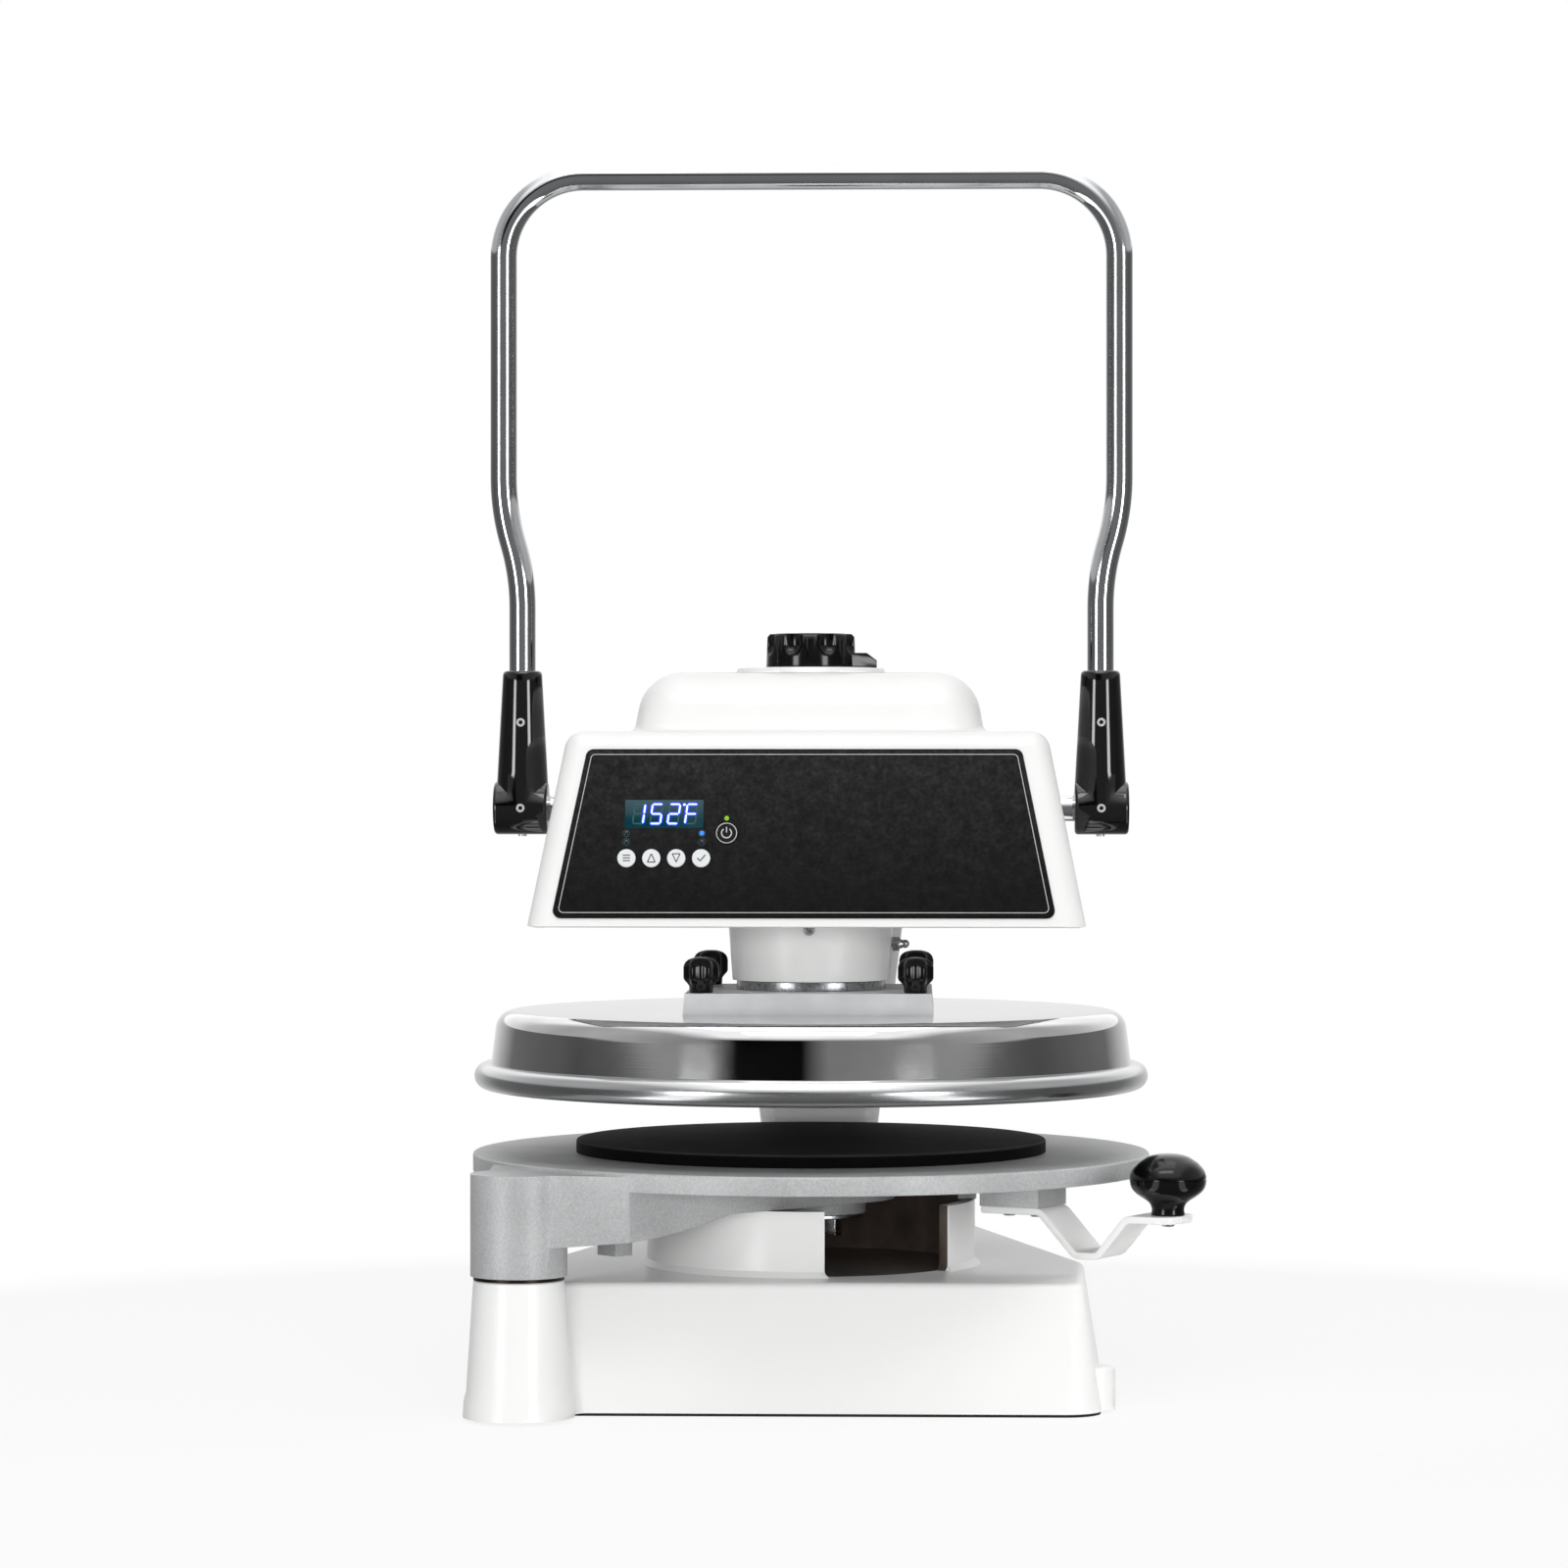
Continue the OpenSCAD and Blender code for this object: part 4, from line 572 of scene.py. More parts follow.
def silicone_mat():
    """Moulded silicone: matt, charcoal on its dusty top, with a fine grain; its wall is painted nearly black
    as shade.
    """
    material, tree, shader = finish("moulded_black_silicone", Roughness=0.72, Specular_IOR_Level=0.1)
    if tree:
        # Painted shade: the wall is near black against the top, and the tone changes over the rounded edge of
        # the top.
        top = mm_box("press_mat")[1].z
        rise = climb(tree, top - 1.6, top - 0.4)
        tones = shades("mat", 0.75)
        dusty = add(tree, "ValToRGB", {"Fac": grain(tree, 40, 5)}, stops=((0.3, tones[0]), (0.8, tones[1])))
        # Painted shade: the wall takes two hundredths of the mat's tone.
        mixed = add(tree, "Mix", {0: rise, 6: dimmed(tint("mat"), 0.02), 7: dusty}, data_type="RGBA")
        relief = add(tree, "Bump", {"Height": grain(tree, 1.1), "Distance": 0.02 * MM})
        plug(tree, shader, {"Base Color": mixed, "Normal": relief})
    return material


def foot_rubber():
    """Moulded rubber: black, dull, slightly dusty."""
    return mottled("moulded_black_rubber", (linear("#121212"), linear("#1E1E1E")), (6, 4), span=(0.3, 0.8),
                   relief=((1.5,), 0.03), Roughness=0.8)


def coated_board():
    """Coated circuit board: green, glossy."""
    return mottled("coated_circuit_board", (linear("#1E5A2C"), linear("#2C7A3E")), (4, 3), span=(0.4, 0.6),
                   Roughness=0.3)


# The head's sloping face

def face(u, v, w):
    """Point on the head's sloping front face: sideways, up the face and out of it, in millimetres."""
    low, _ = mm_box("head_cover")
    return Vector((u, low.y + v * math.sin(FACE_TILT) - w * math.cos(FACE_TILT),
                   low.z + v * math.cos(FACE_TILT) + w * math.sin(FACE_TILT)))


def face_place(node):
    """Middle of a node on the sloping face, as u and v."""
    low, high = mm_box(node)
    middle = (low + high) / 2
    foot = face(0, 0, 0)
    return middle.x, (middle.y - foot.y) * math.sin(FACE_TILT) + (middle.z - foot.z) * math.cos(FACE_TILT)


def button_place(node):
    """Middle and radius of a button on the sloping face."""
    low, high = mm_box(node)
    u, v = face_place(node)
    return u, v, (high.x - low.x) / 2


def lifted(outline, w):
    """Outline in u and v, set out from the sloping face."""
    return [face(u, v, w) for u, v in outline]


def plate(name, outline, low, high):
    """Flat plate on the sloping face, with its outline in u and v."""
    return skin(name, [lifted(outline, w) for w in (low, high)])


def band(name, outline, width, low, high):
    """Closed flat band on the sloping face: the outline is its outer edge, counter-clockwise."""
    count = len(outline)
    inner = []
    for i in range(count):
        a, b, c = (Vector(outline[(i + k) % count]) for k in (-1, 0, 1))
        d = ((b - a).normalized() + (c - b).normalized()).normalized()
        inner.append(b + width * Vector((-d.y, d.x)))
    loops = [lifted(outline, low), lifted(outline, high), lifted(inner, high), lifted(inner, low)]
    return skin(name, loops, ring=True)


def disc_outline(u, v, r, count=48):
    """Circle on the sloping face."""
    return [(u + r * math.cos(a), v + r * math.sin(a)) for a in circle(count)]


def bar_outline(a, b, width):
    """Straight stroke between two points on the sloping face."""
    a, b = Vector(a), Vector(b)
    d = (b - a).normalized() * width / 2
    n = Vector((-d.y, d.x))
    return [a - n, b - n, b + n, a + n]


def key_cutters(room, low, high):
    """Rods that cut the key holes through the sloping face, with room round each key."""
    places = [button_place(node) for node in BUTTONS]
    return [rod(r + room, face(u, v, low), face(u, v, high)) for u, v, r in places]


# Pieces

class PRESS_OT_head_cover(bpy.types.Operator):
    """Loft the head cover, with its shoulder, hollow fillet, dome and boss"""

    bl_idname = "press.head_cover"
    bl_label = "Head Cover"

    rear_slope = 8.0
    dome_slope = 10.0
    wall_levels = (0, 2, 30, 60, 90, 112)
    shoulder_r = 13.5
    corner_r = 15.0
    least_r = 0.5
    shoulder_h = 134.0
    dome_r = 31.0
    dome_h = 42.0
    dome_half = 123.0
    dome_front = -84.1
    dome_back = 124.1
    # Radius and height of the boss from its foot to the spindle's hole.
    boss_profile = ((53.6, 0.0), (52.2, 3.6), (51.4, 4.1), (9.0, 4.1))
    shaft_hole = 12.0
    shaft_reach = 220.0
    key_room = 0.4
    key_hole = (-8.0, 4.0)

    def lean(self, slope, h):
        """How far a leaning side with a round top edge lies in, h above its foot."""
        r = self.shoulder_r
        t = math.radians(slope)
        centre = self.shoulder_h - r
        if h <= centre + r * math.sin(t):
            return h * math.tan(t)
        return (centre * math.sin(t) + r) / math.cos(t) - math.sqrt(max(r * r - (h - centre) ** 2, 0.0))

    def corner_left(self, r, h):
        """Corner radius that a round edge of radius r leaves, h above the edge's centre."""
        return max(math.sqrt(max(r ** 2 - h ** 2, 0.0)), self.least_r)

    def shoulder_loops(self, low, high):
        """Loops from the lower edge up to the flat shoulder."""
        centre = self.shoulder_h - self.shoulder_r
        edge_levels = [centre + self.shoulder_r * math.sin(math.radians(a)) for a in range(9, 91, 9)]
        loops = []
        for h in (*self.wall_levels, *edge_levels):
            r = self.corner_r + (self.shoulder_r - self.corner_r) * min(h / centre, 1.0)
            if h > centre:
                r = self.corner_left(self.shoulder_r, h - centre)
            x = self.lean(SIDE_SLOPE, h)
            front = low.y + self.lean(FRONT_SLOPE, h)
            rear = high.y - self.lean(self.rear_slope, h)
            loops.append(rounded_loop(low.x + x, high.x - x, front, rear, r, low.z + h))
        return loops

    def dome_loops(self, z):
        """Loops from the shoulder up the hollow fillet and over the dome."""
        f = sizes()["dome_fillet"]
        t = math.radians(self.dome_slope)
        centre = self.dome_h - self.dome_r
        outs = arc(f * (1 / math.cos(t) - math.tan(t)), f, f, 270, 180 + self.dome_slope, 8)
        inner = -(centre * math.sin(t) + self.dome_r) / math.cos(t)
        outs += arc(inner, centre, self.dome_r, self.dome_slope, 90, 10)
        loops = []
        for out, h in outs:
            r = self.dome_r + out if h < centre else self.corner_left(self.dome_r, h - centre)
            loops.append(rounded_loop(-self.dome_half - out, self.dome_half + out, self.dome_front - out,
                                      self.dome_back + out, r, z + h))
        return loops

    def boss_loops(self, z, count):
        """Loops from the dome's flat top over the round boss to the spindle's hole."""
        angles = circle(count, 0.5)
        return [[(r * math.cos(a), r * math.sin(a), z + h) for a in angles] for r, h in self.boss_profile]

    def execute(self, context):
        low, high = mm_box("head_cover")
        loops = self.shoulder_loops(low, high)
        loops += self.dome_loops(low.z + self.shoulder_h)
        loops += self.boss_loops(low.z + self.shoulder_h + self.dome_h, len(loops[0]))
        cover = skin("head_cover_shell", loops, fill=False)
        modify(cover, "SOLIDIFY", thickness=sizes()["shell_wall"] * MM, offset=-1.0, use_even_offset=True)
        z = middle_height("handle_shaft")
        shaft = rod(self.shaft_hole, (-self.shaft_reach, 0, z), (self.shaft_reach, 0, z))
        cut(cover, [shaft] + key_cutters(self.key_room, *self.key_hole))
        stand_in(cover, powder_coat(), "head_cover", angle=28)
        return {"FINISHED"}


class PRESS_OT_front_panel(bpy.types.Operator):
    """Lay the printed panel on the head's face, with its border"""

    bl_idname = "press.front_panel"
    bl_label = "Front Panel"

    proud = 1.5
    edge = 0.4
    half_low = 173.0
    shift = -1.6
    height = 118.6
    foot = 5.6
    corner_r = 5.5
    corner_loss = 0.6
    least_r = 1.5
    key_room = 0.3
    hole = (-1.0, 4.0)
    print_sink = 0.05

    def outline(self, inset):
        """Rounded outline of the panel, drawn in."""
        t = math.radians(SIDE_SLOPE)
        r = max(self.corner_r - inset * self.corner_loss, self.least_r)
        half = self.half_low - inset / math.cos(t)
        bottom = self.foot + inset
        top = self.foot + self.height - inset
        low = half - inset * math.tan(t) - r * (1 + math.sin(t)) / math.cos(t)
        high = half - (self.height - inset) * math.tan(t) - r * (1 - math.sin(t)) / math.cos(t)
        spans = ((low, bottom + r, -90, SIDE_SLOPE), (high, top - r, SIDE_SLOPE, 90),
                 (-high, top - r, 90, 180 - SIDE_SLOPE), (-low, bottom + r, 180 - SIDE_SLOPE, 270))
        points = []
        for u, v, start, end in spans:
            points += arc(u + self.shift, v, r, start, end, 8)
        return points

    def window(self):
        """Outline of the display's opening."""
        low, high = mm_box("display_window")
        u, v = face_place("display_window")
        wide = (high.x - low.x) / 2
        tall = (high.z - low.z) / 2 / math.cos(FACE_TILT)
        return [(u - wide, v - tall), (u + wide, v - tall), (u + wide, v + tall), (u - wide, v + tall)]

    def execute(self, context):
        values = sizes()
        layers = ((0.0, 0.0), (0.0, self.proud - self.edge), (self.edge, self.proud))
        panel = skin("panel_film", [lifted(self.outline(inset), w) for inset, w in layers])
        cut(panel, key_cutters(self.key_room, *self.hole) + [plate("window_cut", self.window(), *self.hole)])
        stand_in(panel, printed_film(), "front_panel", angle=30)
        border = band("panel_border", self.outline(values["border_inset"]), values["border_width"],
                      self.proud - self.print_sink, self.proud + values["print_height"])
        dress(border, pale_ink(), "frame", SLOT_OF["front_panel"])
        return {"FINISHED"}


class PRESS_OT_display(bpy.types.Operator):
    """Set the display window with its lit and unlit segments"""

    bl_idname = "press.display"
    bl_label = "Display"

    reading = "152F"
    lit_segments = {"1": "bc", "5": "acdfg", "2": "abdeg", "F": "aefg"}
    digit_w = 7.0
    digit_h = 13.6
    pitch = 12.0
    shift = 0.6
    slant = 0.13
    stroke = 1.1
    gap = 0.75
    taper = 0.2
    glow = 0.8
    dot_place = (-4.2, -0.3)
    dot_r = 0.85
    dot_glow_r = 1.35
    # How far out of the face each layer starts and ends.
    lit_layer = (1.3, 1.36)
    glow_layer = (1.22, 1.27)
    unlit_layer = (1.15, 1.21)
    window_edge = 0.15

    def segment(self, u, v, name):
        """Ends of a segment of the digit whose middle is at u and v."""
        x, y, gap = self.digit_w / 2, self.digit_h / 2, self.gap
        ends = {
            "a": ((gap - x, y), (x - gap, y)),
            "b": ((x, gap), (x, y - gap)),
            "c": ((x, gap - y), (x, -gap)),
            "d": ((gap - x, -y), (x - gap, -y)),
            "e": ((-x, gap - y), (-x, -gap)),
            "f": ((-x, gap), (-x, y - gap)),
            "g": ((gap - x, 0), (x - gap, 0)),
        }[name]
        return [(u + p + self.slant * q, v + q) for p, q in ends]

    def pointed(self, ends, width):
        """Six-sided outline of a segment."""
        a, b = Vector(ends[0]), Vector(ends[1])
        d = (b - a).normalized() * width / 2
        n = Vector((-d.y, d.x))
        tip = d * self.taper
        return [a - d, a - n + tip, b - n - tip, b + d, b + n - tip, a + n + tip]

    def execute(self, context):
        u0, v0 = face_place("display_window")
        shown, halos, unlit = [], [], []
        for i, sign in enumerate(self.reading):
            u = u0 + (i - 1.5) * self.pitch + self.shift
            for name in "abcdefg":
                ends = self.segment(u, v0, name)
                if name in self.lit_segments[sign]:
                    halo = self.pointed(ends, self.stroke + 2 * self.glow)
                    shown.append(plate("lit", self.pointed(ends, self.stroke), *self.lit_layer))
                    halos.append(plate("halo", halo, *self.glow_layer))
                else:
                    unlit.append(plate("unlit", self.pointed(ends, self.stroke), *self.unlit_layer))
        dot = (u0 + 1.5 * self.pitch + self.dot_place[0], v0 + self.digit_h / 2 + self.dot_place[1])
        shown.append(plate("lit", disc_outline(*dot, self.dot_r, 16), *self.lit_layer))
        halos.append(plate("halo", disc_outline(*dot, self.dot_glow_r, 16), *self.glow_layer))
        slot = SLOT_OF["display_window"]
        refined("display_window", display_lens(), self.window_edge)
        dress(joined("display_segments_lit", shown), lit("lit_blue_led", tint("digits"), 1.5), "frame", slot)
        dress(joined("display_segments_halo", halos), lit("blue_led_halo", tint("glow"), 1.3), "frame", slot)
        dress(joined("display_segments_unlit", unlit), unlit_segment(), "frame", slot)
        return {"FINISHED"}


class PRESS_OT_buttons(bpy.types.Operator):
    """Model the key caps, the power key and the lamps, with their signs"""

    bl_idname = "press.buttons"
    bl_label = "Buttons And Lamps"

    proud = 2.4
    foot = -8.0
    rim_r = 0.5
    rim_drop = 0.6
    top_drop = 0.1
    key_dish = 0.2
    top_shares = (0.8, 0.5, 0.2, 0.001)
    sign_w = 0.7
    tick_w = 0.8
    sign_rise = 0.16
    sign_t = 0.3
    # Points of the signs in shares of the key's radius.
    mode_rows = (-0.3, 0.0, 0.3)
    row_half = 0.4
    triangle = ((0.0, 0.46), (-0.42, -0.46), (0.42, -0.46), (0.0, 0.46))
    tick = ((-0.42, 0.0), (-0.1, -0.34), (0.46, 0.36))
    power_ring_inset = 0.2
    power_ring_w = 0.55
    power_ring_rise = 0.02
    power_r = (3.8, 3.0)
    power_span = (128, 412)
    power_stem = (0.4, 4.2)
    power_stem_w = 0.8
    lens_r = 1.75
    lens_foot = 0.2
    lens_wall = 1.3
    lens_dome = 0.6
    lens_turns = (0.4, 0.8, 1.2, 1.57)
    lens_rows = (58.8, 64.9)
    lens_aside = 26.0
    lens_ring_r = 2.5
    lens_ring_w = 0.3
    lens_ring_layer = (1.4, 1.56)
    power_lens_rise = 10.5

    def cap(self, node, material, dish):
        """Key cap: an upright wall, a rounded rim and a slightly domed top."""
        u, v, r = button_place(node)
        wall = self.proud - self.rim_drop
        profile = [(r, self.foot), (r, wall)] + arc(r - self.rim_r, wall, self.rim_r, 0, 90, 4)[1:]
        profile += [(r * k, self.proud - self.top_drop + dish * (1 - k * k)) for k in self.top_shares]
        loops = [lifted(disc_outline(u, v, wide, 64), w) for wide, w in profile]
        stand_in(skin(node + "_cap", loops), material, node)

    def strokes(self, node, shares, width):
        """Strokes from point to point on a key."""
        u, v, r = button_place(node)
        points = [(u + x * r, v + y * r) for x, y in shares]
        return [bar_outline(a, b, width) for a, b in zip(points, points[1:])]

    def sign(self, name, node, outlines, material):
        """Printed sign on a key, moving with it."""
        top = self.proud + self.sign_rise
        plates = [plate("stroke", outline, top - self.sign_t, top) for outline in outlines]
        dress(joined(name, plates), material, BODY_OF[node], SLOT_OF[node])

    def key_signs(self):
        """Three bars, two triangles and a tick on the small keys."""
        ink = dark_ink()
        half = self.row_half
        rows = []
        for k in self.mode_rows:
            rows += self.strokes("mode_button", ((-half, k), (half, k)), self.sign_w)
        flipped = [(x, -y) for x, y in self.triangle]
        self.sign("mode_sign", "mode_button", rows, ink)
        self.sign("up_sign", "up_button", self.strokes("up_button", self.triangle, self.sign_w), ink)
        self.sign("down_sign", "down_button", self.strokes("down_button", flipped, self.sign_w), ink)
        self.sign("set_sign", "set_button", self.strokes("set_button", self.tick, self.tick_w), ink)

    def power_signs(self):
        """Ring round the power key and the power sign on it."""
        u, v, r = button_place("power_button")
        ring = band("power_ring", disc_outline(u, v, r - self.power_ring_inset, 72), self.power_ring_w,
                    self.proud - self.sign_t, self.proud + self.power_ring_rise)
        dress(ring, pale_ink(), BODY_OF["power_button"], SLOT_OF["power_button"])
        start, end = self.power_span
        outer, inner = self.power_r
        sweep = arc(u, v, outer, start, end, 28) + arc(u, v, inner, end, start, 28)
        low, high = self.power_stem
        stem = bar_outline((u, v + low), (u, v + high), self.power_stem_w)
        self.sign("power_sign", "power_button", [sweep, stem], pale_ink())

    def lens(self, name, u, v):
        """Lamp lens: a small dome."""
        r, wall = self.lens_r, self.lens_wall
        profile = [(r, self.lens_foot), (r, wall)]
        profile += [(r * math.cos(a), wall + self.lens_dome * math.sin(a)) for a in self.lens_turns]
        return skin(name, [lifted(disc_outline(u, v, wide, 32), w) for wide, w in profile])

    def lamps(self):
        """Lamp lenses: four in thin rings beside the display, the last of them lit blue, and a green one."""
        u0, _ = face_place("display_window")
        lenses, rings = [], []
        for u in (u0 - self.lens_aside, u0 + self.lens_aside):
            for v in self.lens_rows:
                ring = disc_outline(u, v, self.lens_ring_r, 40)
                rings.append(band("lamp_ring", ring, self.lens_ring_w, *self.lens_ring_layer))
                lenses.append(self.lens("lamp", u, v))
        blue = lenses.pop()
        blue.name = "heat_lamp"
        dress(blue, lit("lit_blue_lamp", linear("#2F7BFF"), 1.2), "frame", "lamp_lens")
        dress(joined("dark_lamps", lenses), dark_lens(), "frame", "lamp_lens", "indicator_lenses")
        dress(joined("lamp_rings", rings), unlit_segment(), "frame", "lamp_lens")
        u, v, _ = button_place("power_button")
        green = self.lens("power_lamp", u, v + self.power_lens_rise)
        dress(green, lit("lit_green_lamp", linear("#7FB800"), 0.8), "frame", "lamp_lens")

    def execute(self, context):
        for node in BUTTONS[:4]:
            self.cap(node, white_key(), self.key_dish)
        self.cap("power_button", black_phenolic(), 0.0)
        self.key_signs()
        self.power_signs()
        self.lamps()
        return {"FINISHED"}


class PRESS_OT_handle(bpy.types.Operator):
    """Bend the handle bar and shape its sockets"""

    bl_idname = "press.handle"
    bl_label = "Handle"

    jog = 13.5
    jog_start = 143.0
    jog_h = 93.0
    # Places on the straight bar, so far before and after the jog.
    before_jog = 40.0
    after_jog = 60.0
    bend_r = 57.0
    sides = 48
    hub_inset = 18.5
    socket_foot_r = 19.2
    socket_top_r = 13.9
    socket_edge = 2.6
    socket_levels = (0.0, 26.0, 32.0, 50.0, 70.0, 90.0)
    bore_floor = 21.5
    bore_end = 2.5
    fit = 0.15
    screw_r = 3.0
    screw_reach = 10.0
    screw_rise = 61.0
    screw_step = 2.6
    key_r = 1.6
    key_depth = 2.0

    def path(self):
        """Middle line of the right half, from the socket to the top, as x and z, and the bar's radius."""
        low, high = mm_box("handle_bar")
        r = (high.y - low.y) / 2
        bar_x = high.x - r
        arm_x = bar_x - self.jog
        top = high.z - r
        turn = 2 * math.degrees(math.atan(self.jog / self.jog_h))
        jog_r = self.jog_h / (2 * math.sin(math.radians(turn)))
        start = middle_height("handle_shaft") + self.jog_start
        points = [(arm_x, low.z), (arm_x, start - self.before_jog)]
        points += arc(arm_x + jog_r, start, jog_r, 180, 180 - turn, 10)
        points += arc(bar_x - jog_r, start + self.jog_h, jog_r, -turn, 0, 10)[1:]
        points += [(bar_x, start + self.jog_h + self.after_jog)]
        points += arc(bar_x - self.bend_r, top - self.bend_r, self.bend_r, 0, 90, 20)
        return points, r

    def bar(self, right, r):
        """Round bar along a middle line and its mirror image."""
        line = right + [(-x, z) for x, z in reversed(right)]
        angles = circle(self.sides)
        loops = []
        for i, (x, z) in enumerate(line):
            before = Vector(line[max(i - 1, 0)])
            after = Vector(line[min(i + 1, len(line) - 1)])
            way = (after - before).normalized()
            side = Vector((way.y, 0, -way.x))
            rim = [r * (math.cos(a) * side + math.sin(a) * Vector((0, 1, 0))) for a in angles]
            loops.append([Vector((x, 0, z)) + v for v in rim])
        stand_in(skin("handle_bar_tube", loops), chrome_plate(), "handle_bar")

    def socket(self, node, side, bore):
        """Cast socket: a hub round the shaft and a taper round the bar, with round edges and their bores."""
        low, high = mm_box("right_socket")
        hub_r, e = high.y, self.socket_edge
        x, z = low.x + self.hub_inset, low.z + hub_r
        angles = circle(96)
        rims = arc(low.x + e, hub_r - e, e, 180, 90, 5) + arc(high.x - e, hub_r - e, e, 90, 0, 5)
        hub = skin(node + "_form", [[(side * along, r * math.cos(a), z + r * math.sin(a)) for a in angles]
                                    for along, r in rims])
        fall = (self.socket_foot_r - self.socket_top_r) / (high.z - z)
        levels = (*self.socket_levels, high.z - z - e - 1)
        wall = [(self.socket_foot_r - fall * h, z + h) for h in levels]
        round_top = arc(self.socket_top_r - e, high.z - e, e, math.degrees(math.atan(fall)), 90, 6)
        profile = [(0, z)] + wall + round_top + [(0, high.z)]
        cut(hub, [turned("taper", profile, (side * x, 0), 96)], "UNION")
        cut(hub, [rod(bore, (side * (low.x - 1), 0, z), (side * (high.x - self.bore_end), 0, z)),
                  rod(bore, (side * x, 0, z + self.bore_floor), (side * x, 0, high.z + 1))])
        stand_in(hub, black_enamel(), node, angle=40)

    def set_screws(self):
        """Cup-ended set screws with hexagon sockets, and a plain one from below in each socket."""
        low, _ = mm_box("socket_screws")
        shaft_z = middle_height("handle_shaft")
        arm_x = mm_box("right_socket")[0].x + self.hub_inset
        parts = []
        for x in (-arm_x, arm_x):
            for z, tip in ((shaft_z, low.y), (shaft_z + self.screw_rise, low.y + self.screw_step)):
                screw = rod(self.screw_r, (x, -self.screw_reach, z), (x, tip, z))
                cut(screw, [rod(self.key_r, (x, tip + self.key_depth, z), (x, tip - 1, z), 6)])
                parts.append(screw)
            parts.append(rod(self.screw_r, (x, 0, shaft_z - self.screw_reach), (x, 0, low.z)))
        stand_in(joined("set_screws", parts), bright_zinc(), "socket_screws")

    def execute(self, context):
        right, r = self.path()
        self.bar(right, r)
        self.socket("left_socket", -1, r + self.fit)
        self.socket("right_socket", 1, r + self.fit)
        self.set_screws()
        refined("handle_shaft", chrome_plate(), sizes()["machined_edge"])
        return {"FINISHED"}


class PRESS_OT_upper_platen(bpy.types.Operator):
    """Turn the stainless cover and the heated platen, and finish the clamp parts"""

    bl_idname = "press.upper_platen"
    bl_label = "Upper Platen"

    edge_r = 13.0
    wall_lean = 7.1
    wall_levels = (0.0, 1.0, 12.0, 23.0)
    top_radii = (150, 20, 0)
    sheet = 1.5
    face_margin = 3
    adapter_edge = 1.2
    lobes = 6
    stud_hole = 4.0
    stud_depth = 0.6
    # Height, radius and depth of the lobes of a clamp knob, as shares.
    clamp_shares = (
        (0.0, 0.62, 0.0), (0.03, 0.66, 0.0), (0.2, 0.68, 0.05), (0.28, 0.8, 0.12), (0.36, 0.95, 0.2),
        (0.42, 1.0, 0.22), (0.72, 1.0, 0.22), (0.8, 0.96, 0.2), (0.87, 0.88, 0.16), (0.93, 0.74, 0.1),
        (0.97, 0.55, 0.05), (1.0, 0.3, 0.0), (1.0, 0.01, 0.0),
    )

    def cover(self):
        """Spun cover whose leaning wall runs smoothly into a round shoulder."""
        low, high = mm_box("platen_cover")
        r, e, t = high.x, self.edge_r, self.sheet
        lean = math.radians(self.wall_lean)
        z = high.z - e
        x = r - math.tan(lean) * (z + e * math.sin(lean) - low.z) - e * math.cos(lean)
        wall = [(r - math.tan(lean) * h, low.z + h) for h in self.wall_levels]
        outside = wall + arc(x, z, e, self.wall_lean, 90, 16) + [(wide, high.z) for wide in self.top_radii]
        inside = [(0, high.z - t)] + arc(x, z, e - t, 90, self.wall_lean, 10) + [(r - t, low.z)]
        sheet = turned("platen_cover_sheet", outside + inside, count=256)
        stand_in(sheet, spun_stainless(), "platen_cover")

    def platen(self):
        """Heated platen with a bullnose rim."""
        low, high = mm_box("heated_platen")
        r = (high.z - low.z) / 2
        flat = high.x - r - self.face_margin
        profile = [(0, low.z), (flat, low.z)] + arc(high.x - r, low.z + r, r, -90, 90, 20)
        profile += [(flat, high.z), (0, high.z)]
        stand_in(turned("heated_platen_disc", profile, count=256), turned_aluminium(), "heated_platen")

    def clamp_knob(self, node):
        """Moulded knob: a narrow foot, a lobed body and a round top, over the end of its stud."""
        low, high = mm_box(node)
        middle = (low + high) / 2
        x, y = middle.x, middle.y
        r, h = (high.x - low.x) / 2, high.z - low.z
        angles = circle(120)
        loops = []
        for rise, wide, lobed in self.clamp_shares:
            rim = [wide * r * (1 - 0.5 * lobed * (1 - math.cos(self.lobes * a))) for a in angles]
            loops.append([(x + d * math.cos(a), y + d * math.sin(a), low.z + rise * h)
                          for d, a in zip(rim, angles)])
        knob = skin(node + "_form", loops)
        cut(knob, [rod(self.stud_hole, (x, y, low.z - 1), (x, y, low.z + self.stud_depth * h))])
        stand_in(knob, black_phenolic(), node, angle=50)

    def execute(self, context):
        self.cover()
        self.platen()
        refined("adapter_plate", milled_aluminium(), self.adapter_edge)
        refined("ram", machined_steel(), sizes()["machined_edge"])
        for node in sorted(n for n in BODY_OF if n.startswith("clamp_knob_")):
            self.clamp_knob(node)
        return {"FINISHED"}


class PRESS_OT_lower_platen(bpy.types.Operator):
    """Finish the swinging lower platen, its mat and its boss"""

    bl_idname = "press.lower_platen"
    bl_label = "Lower Platen"

    platen_edge = 1.4
    mat_edge = 1.5
    mat_margin = 20

    def execute(self, context):
        refined("lower_platen", blasted_aluminium(), self.platen_edge, angle=30, shade=32)
        low, high = mm_box("press_mat")
        r, e = high.x, self.mat_edge
        profile = [(0, low.z), (r, low.z), (r, high.z - e)] + arc(r - e, high.z - e, e, 0, 90, 5)[1:]
        profile += [(r - self.mat_margin, high.z), (0, high.z)]
        stand_in(turned("press_mat_disc", profile), silicone_mat(), "press_mat")
        for node in ("boss_plate", "boss_bolts"):
            refined(node, machined_steel(), sizes()["machined_edge"])
        return {"FINISHED"}


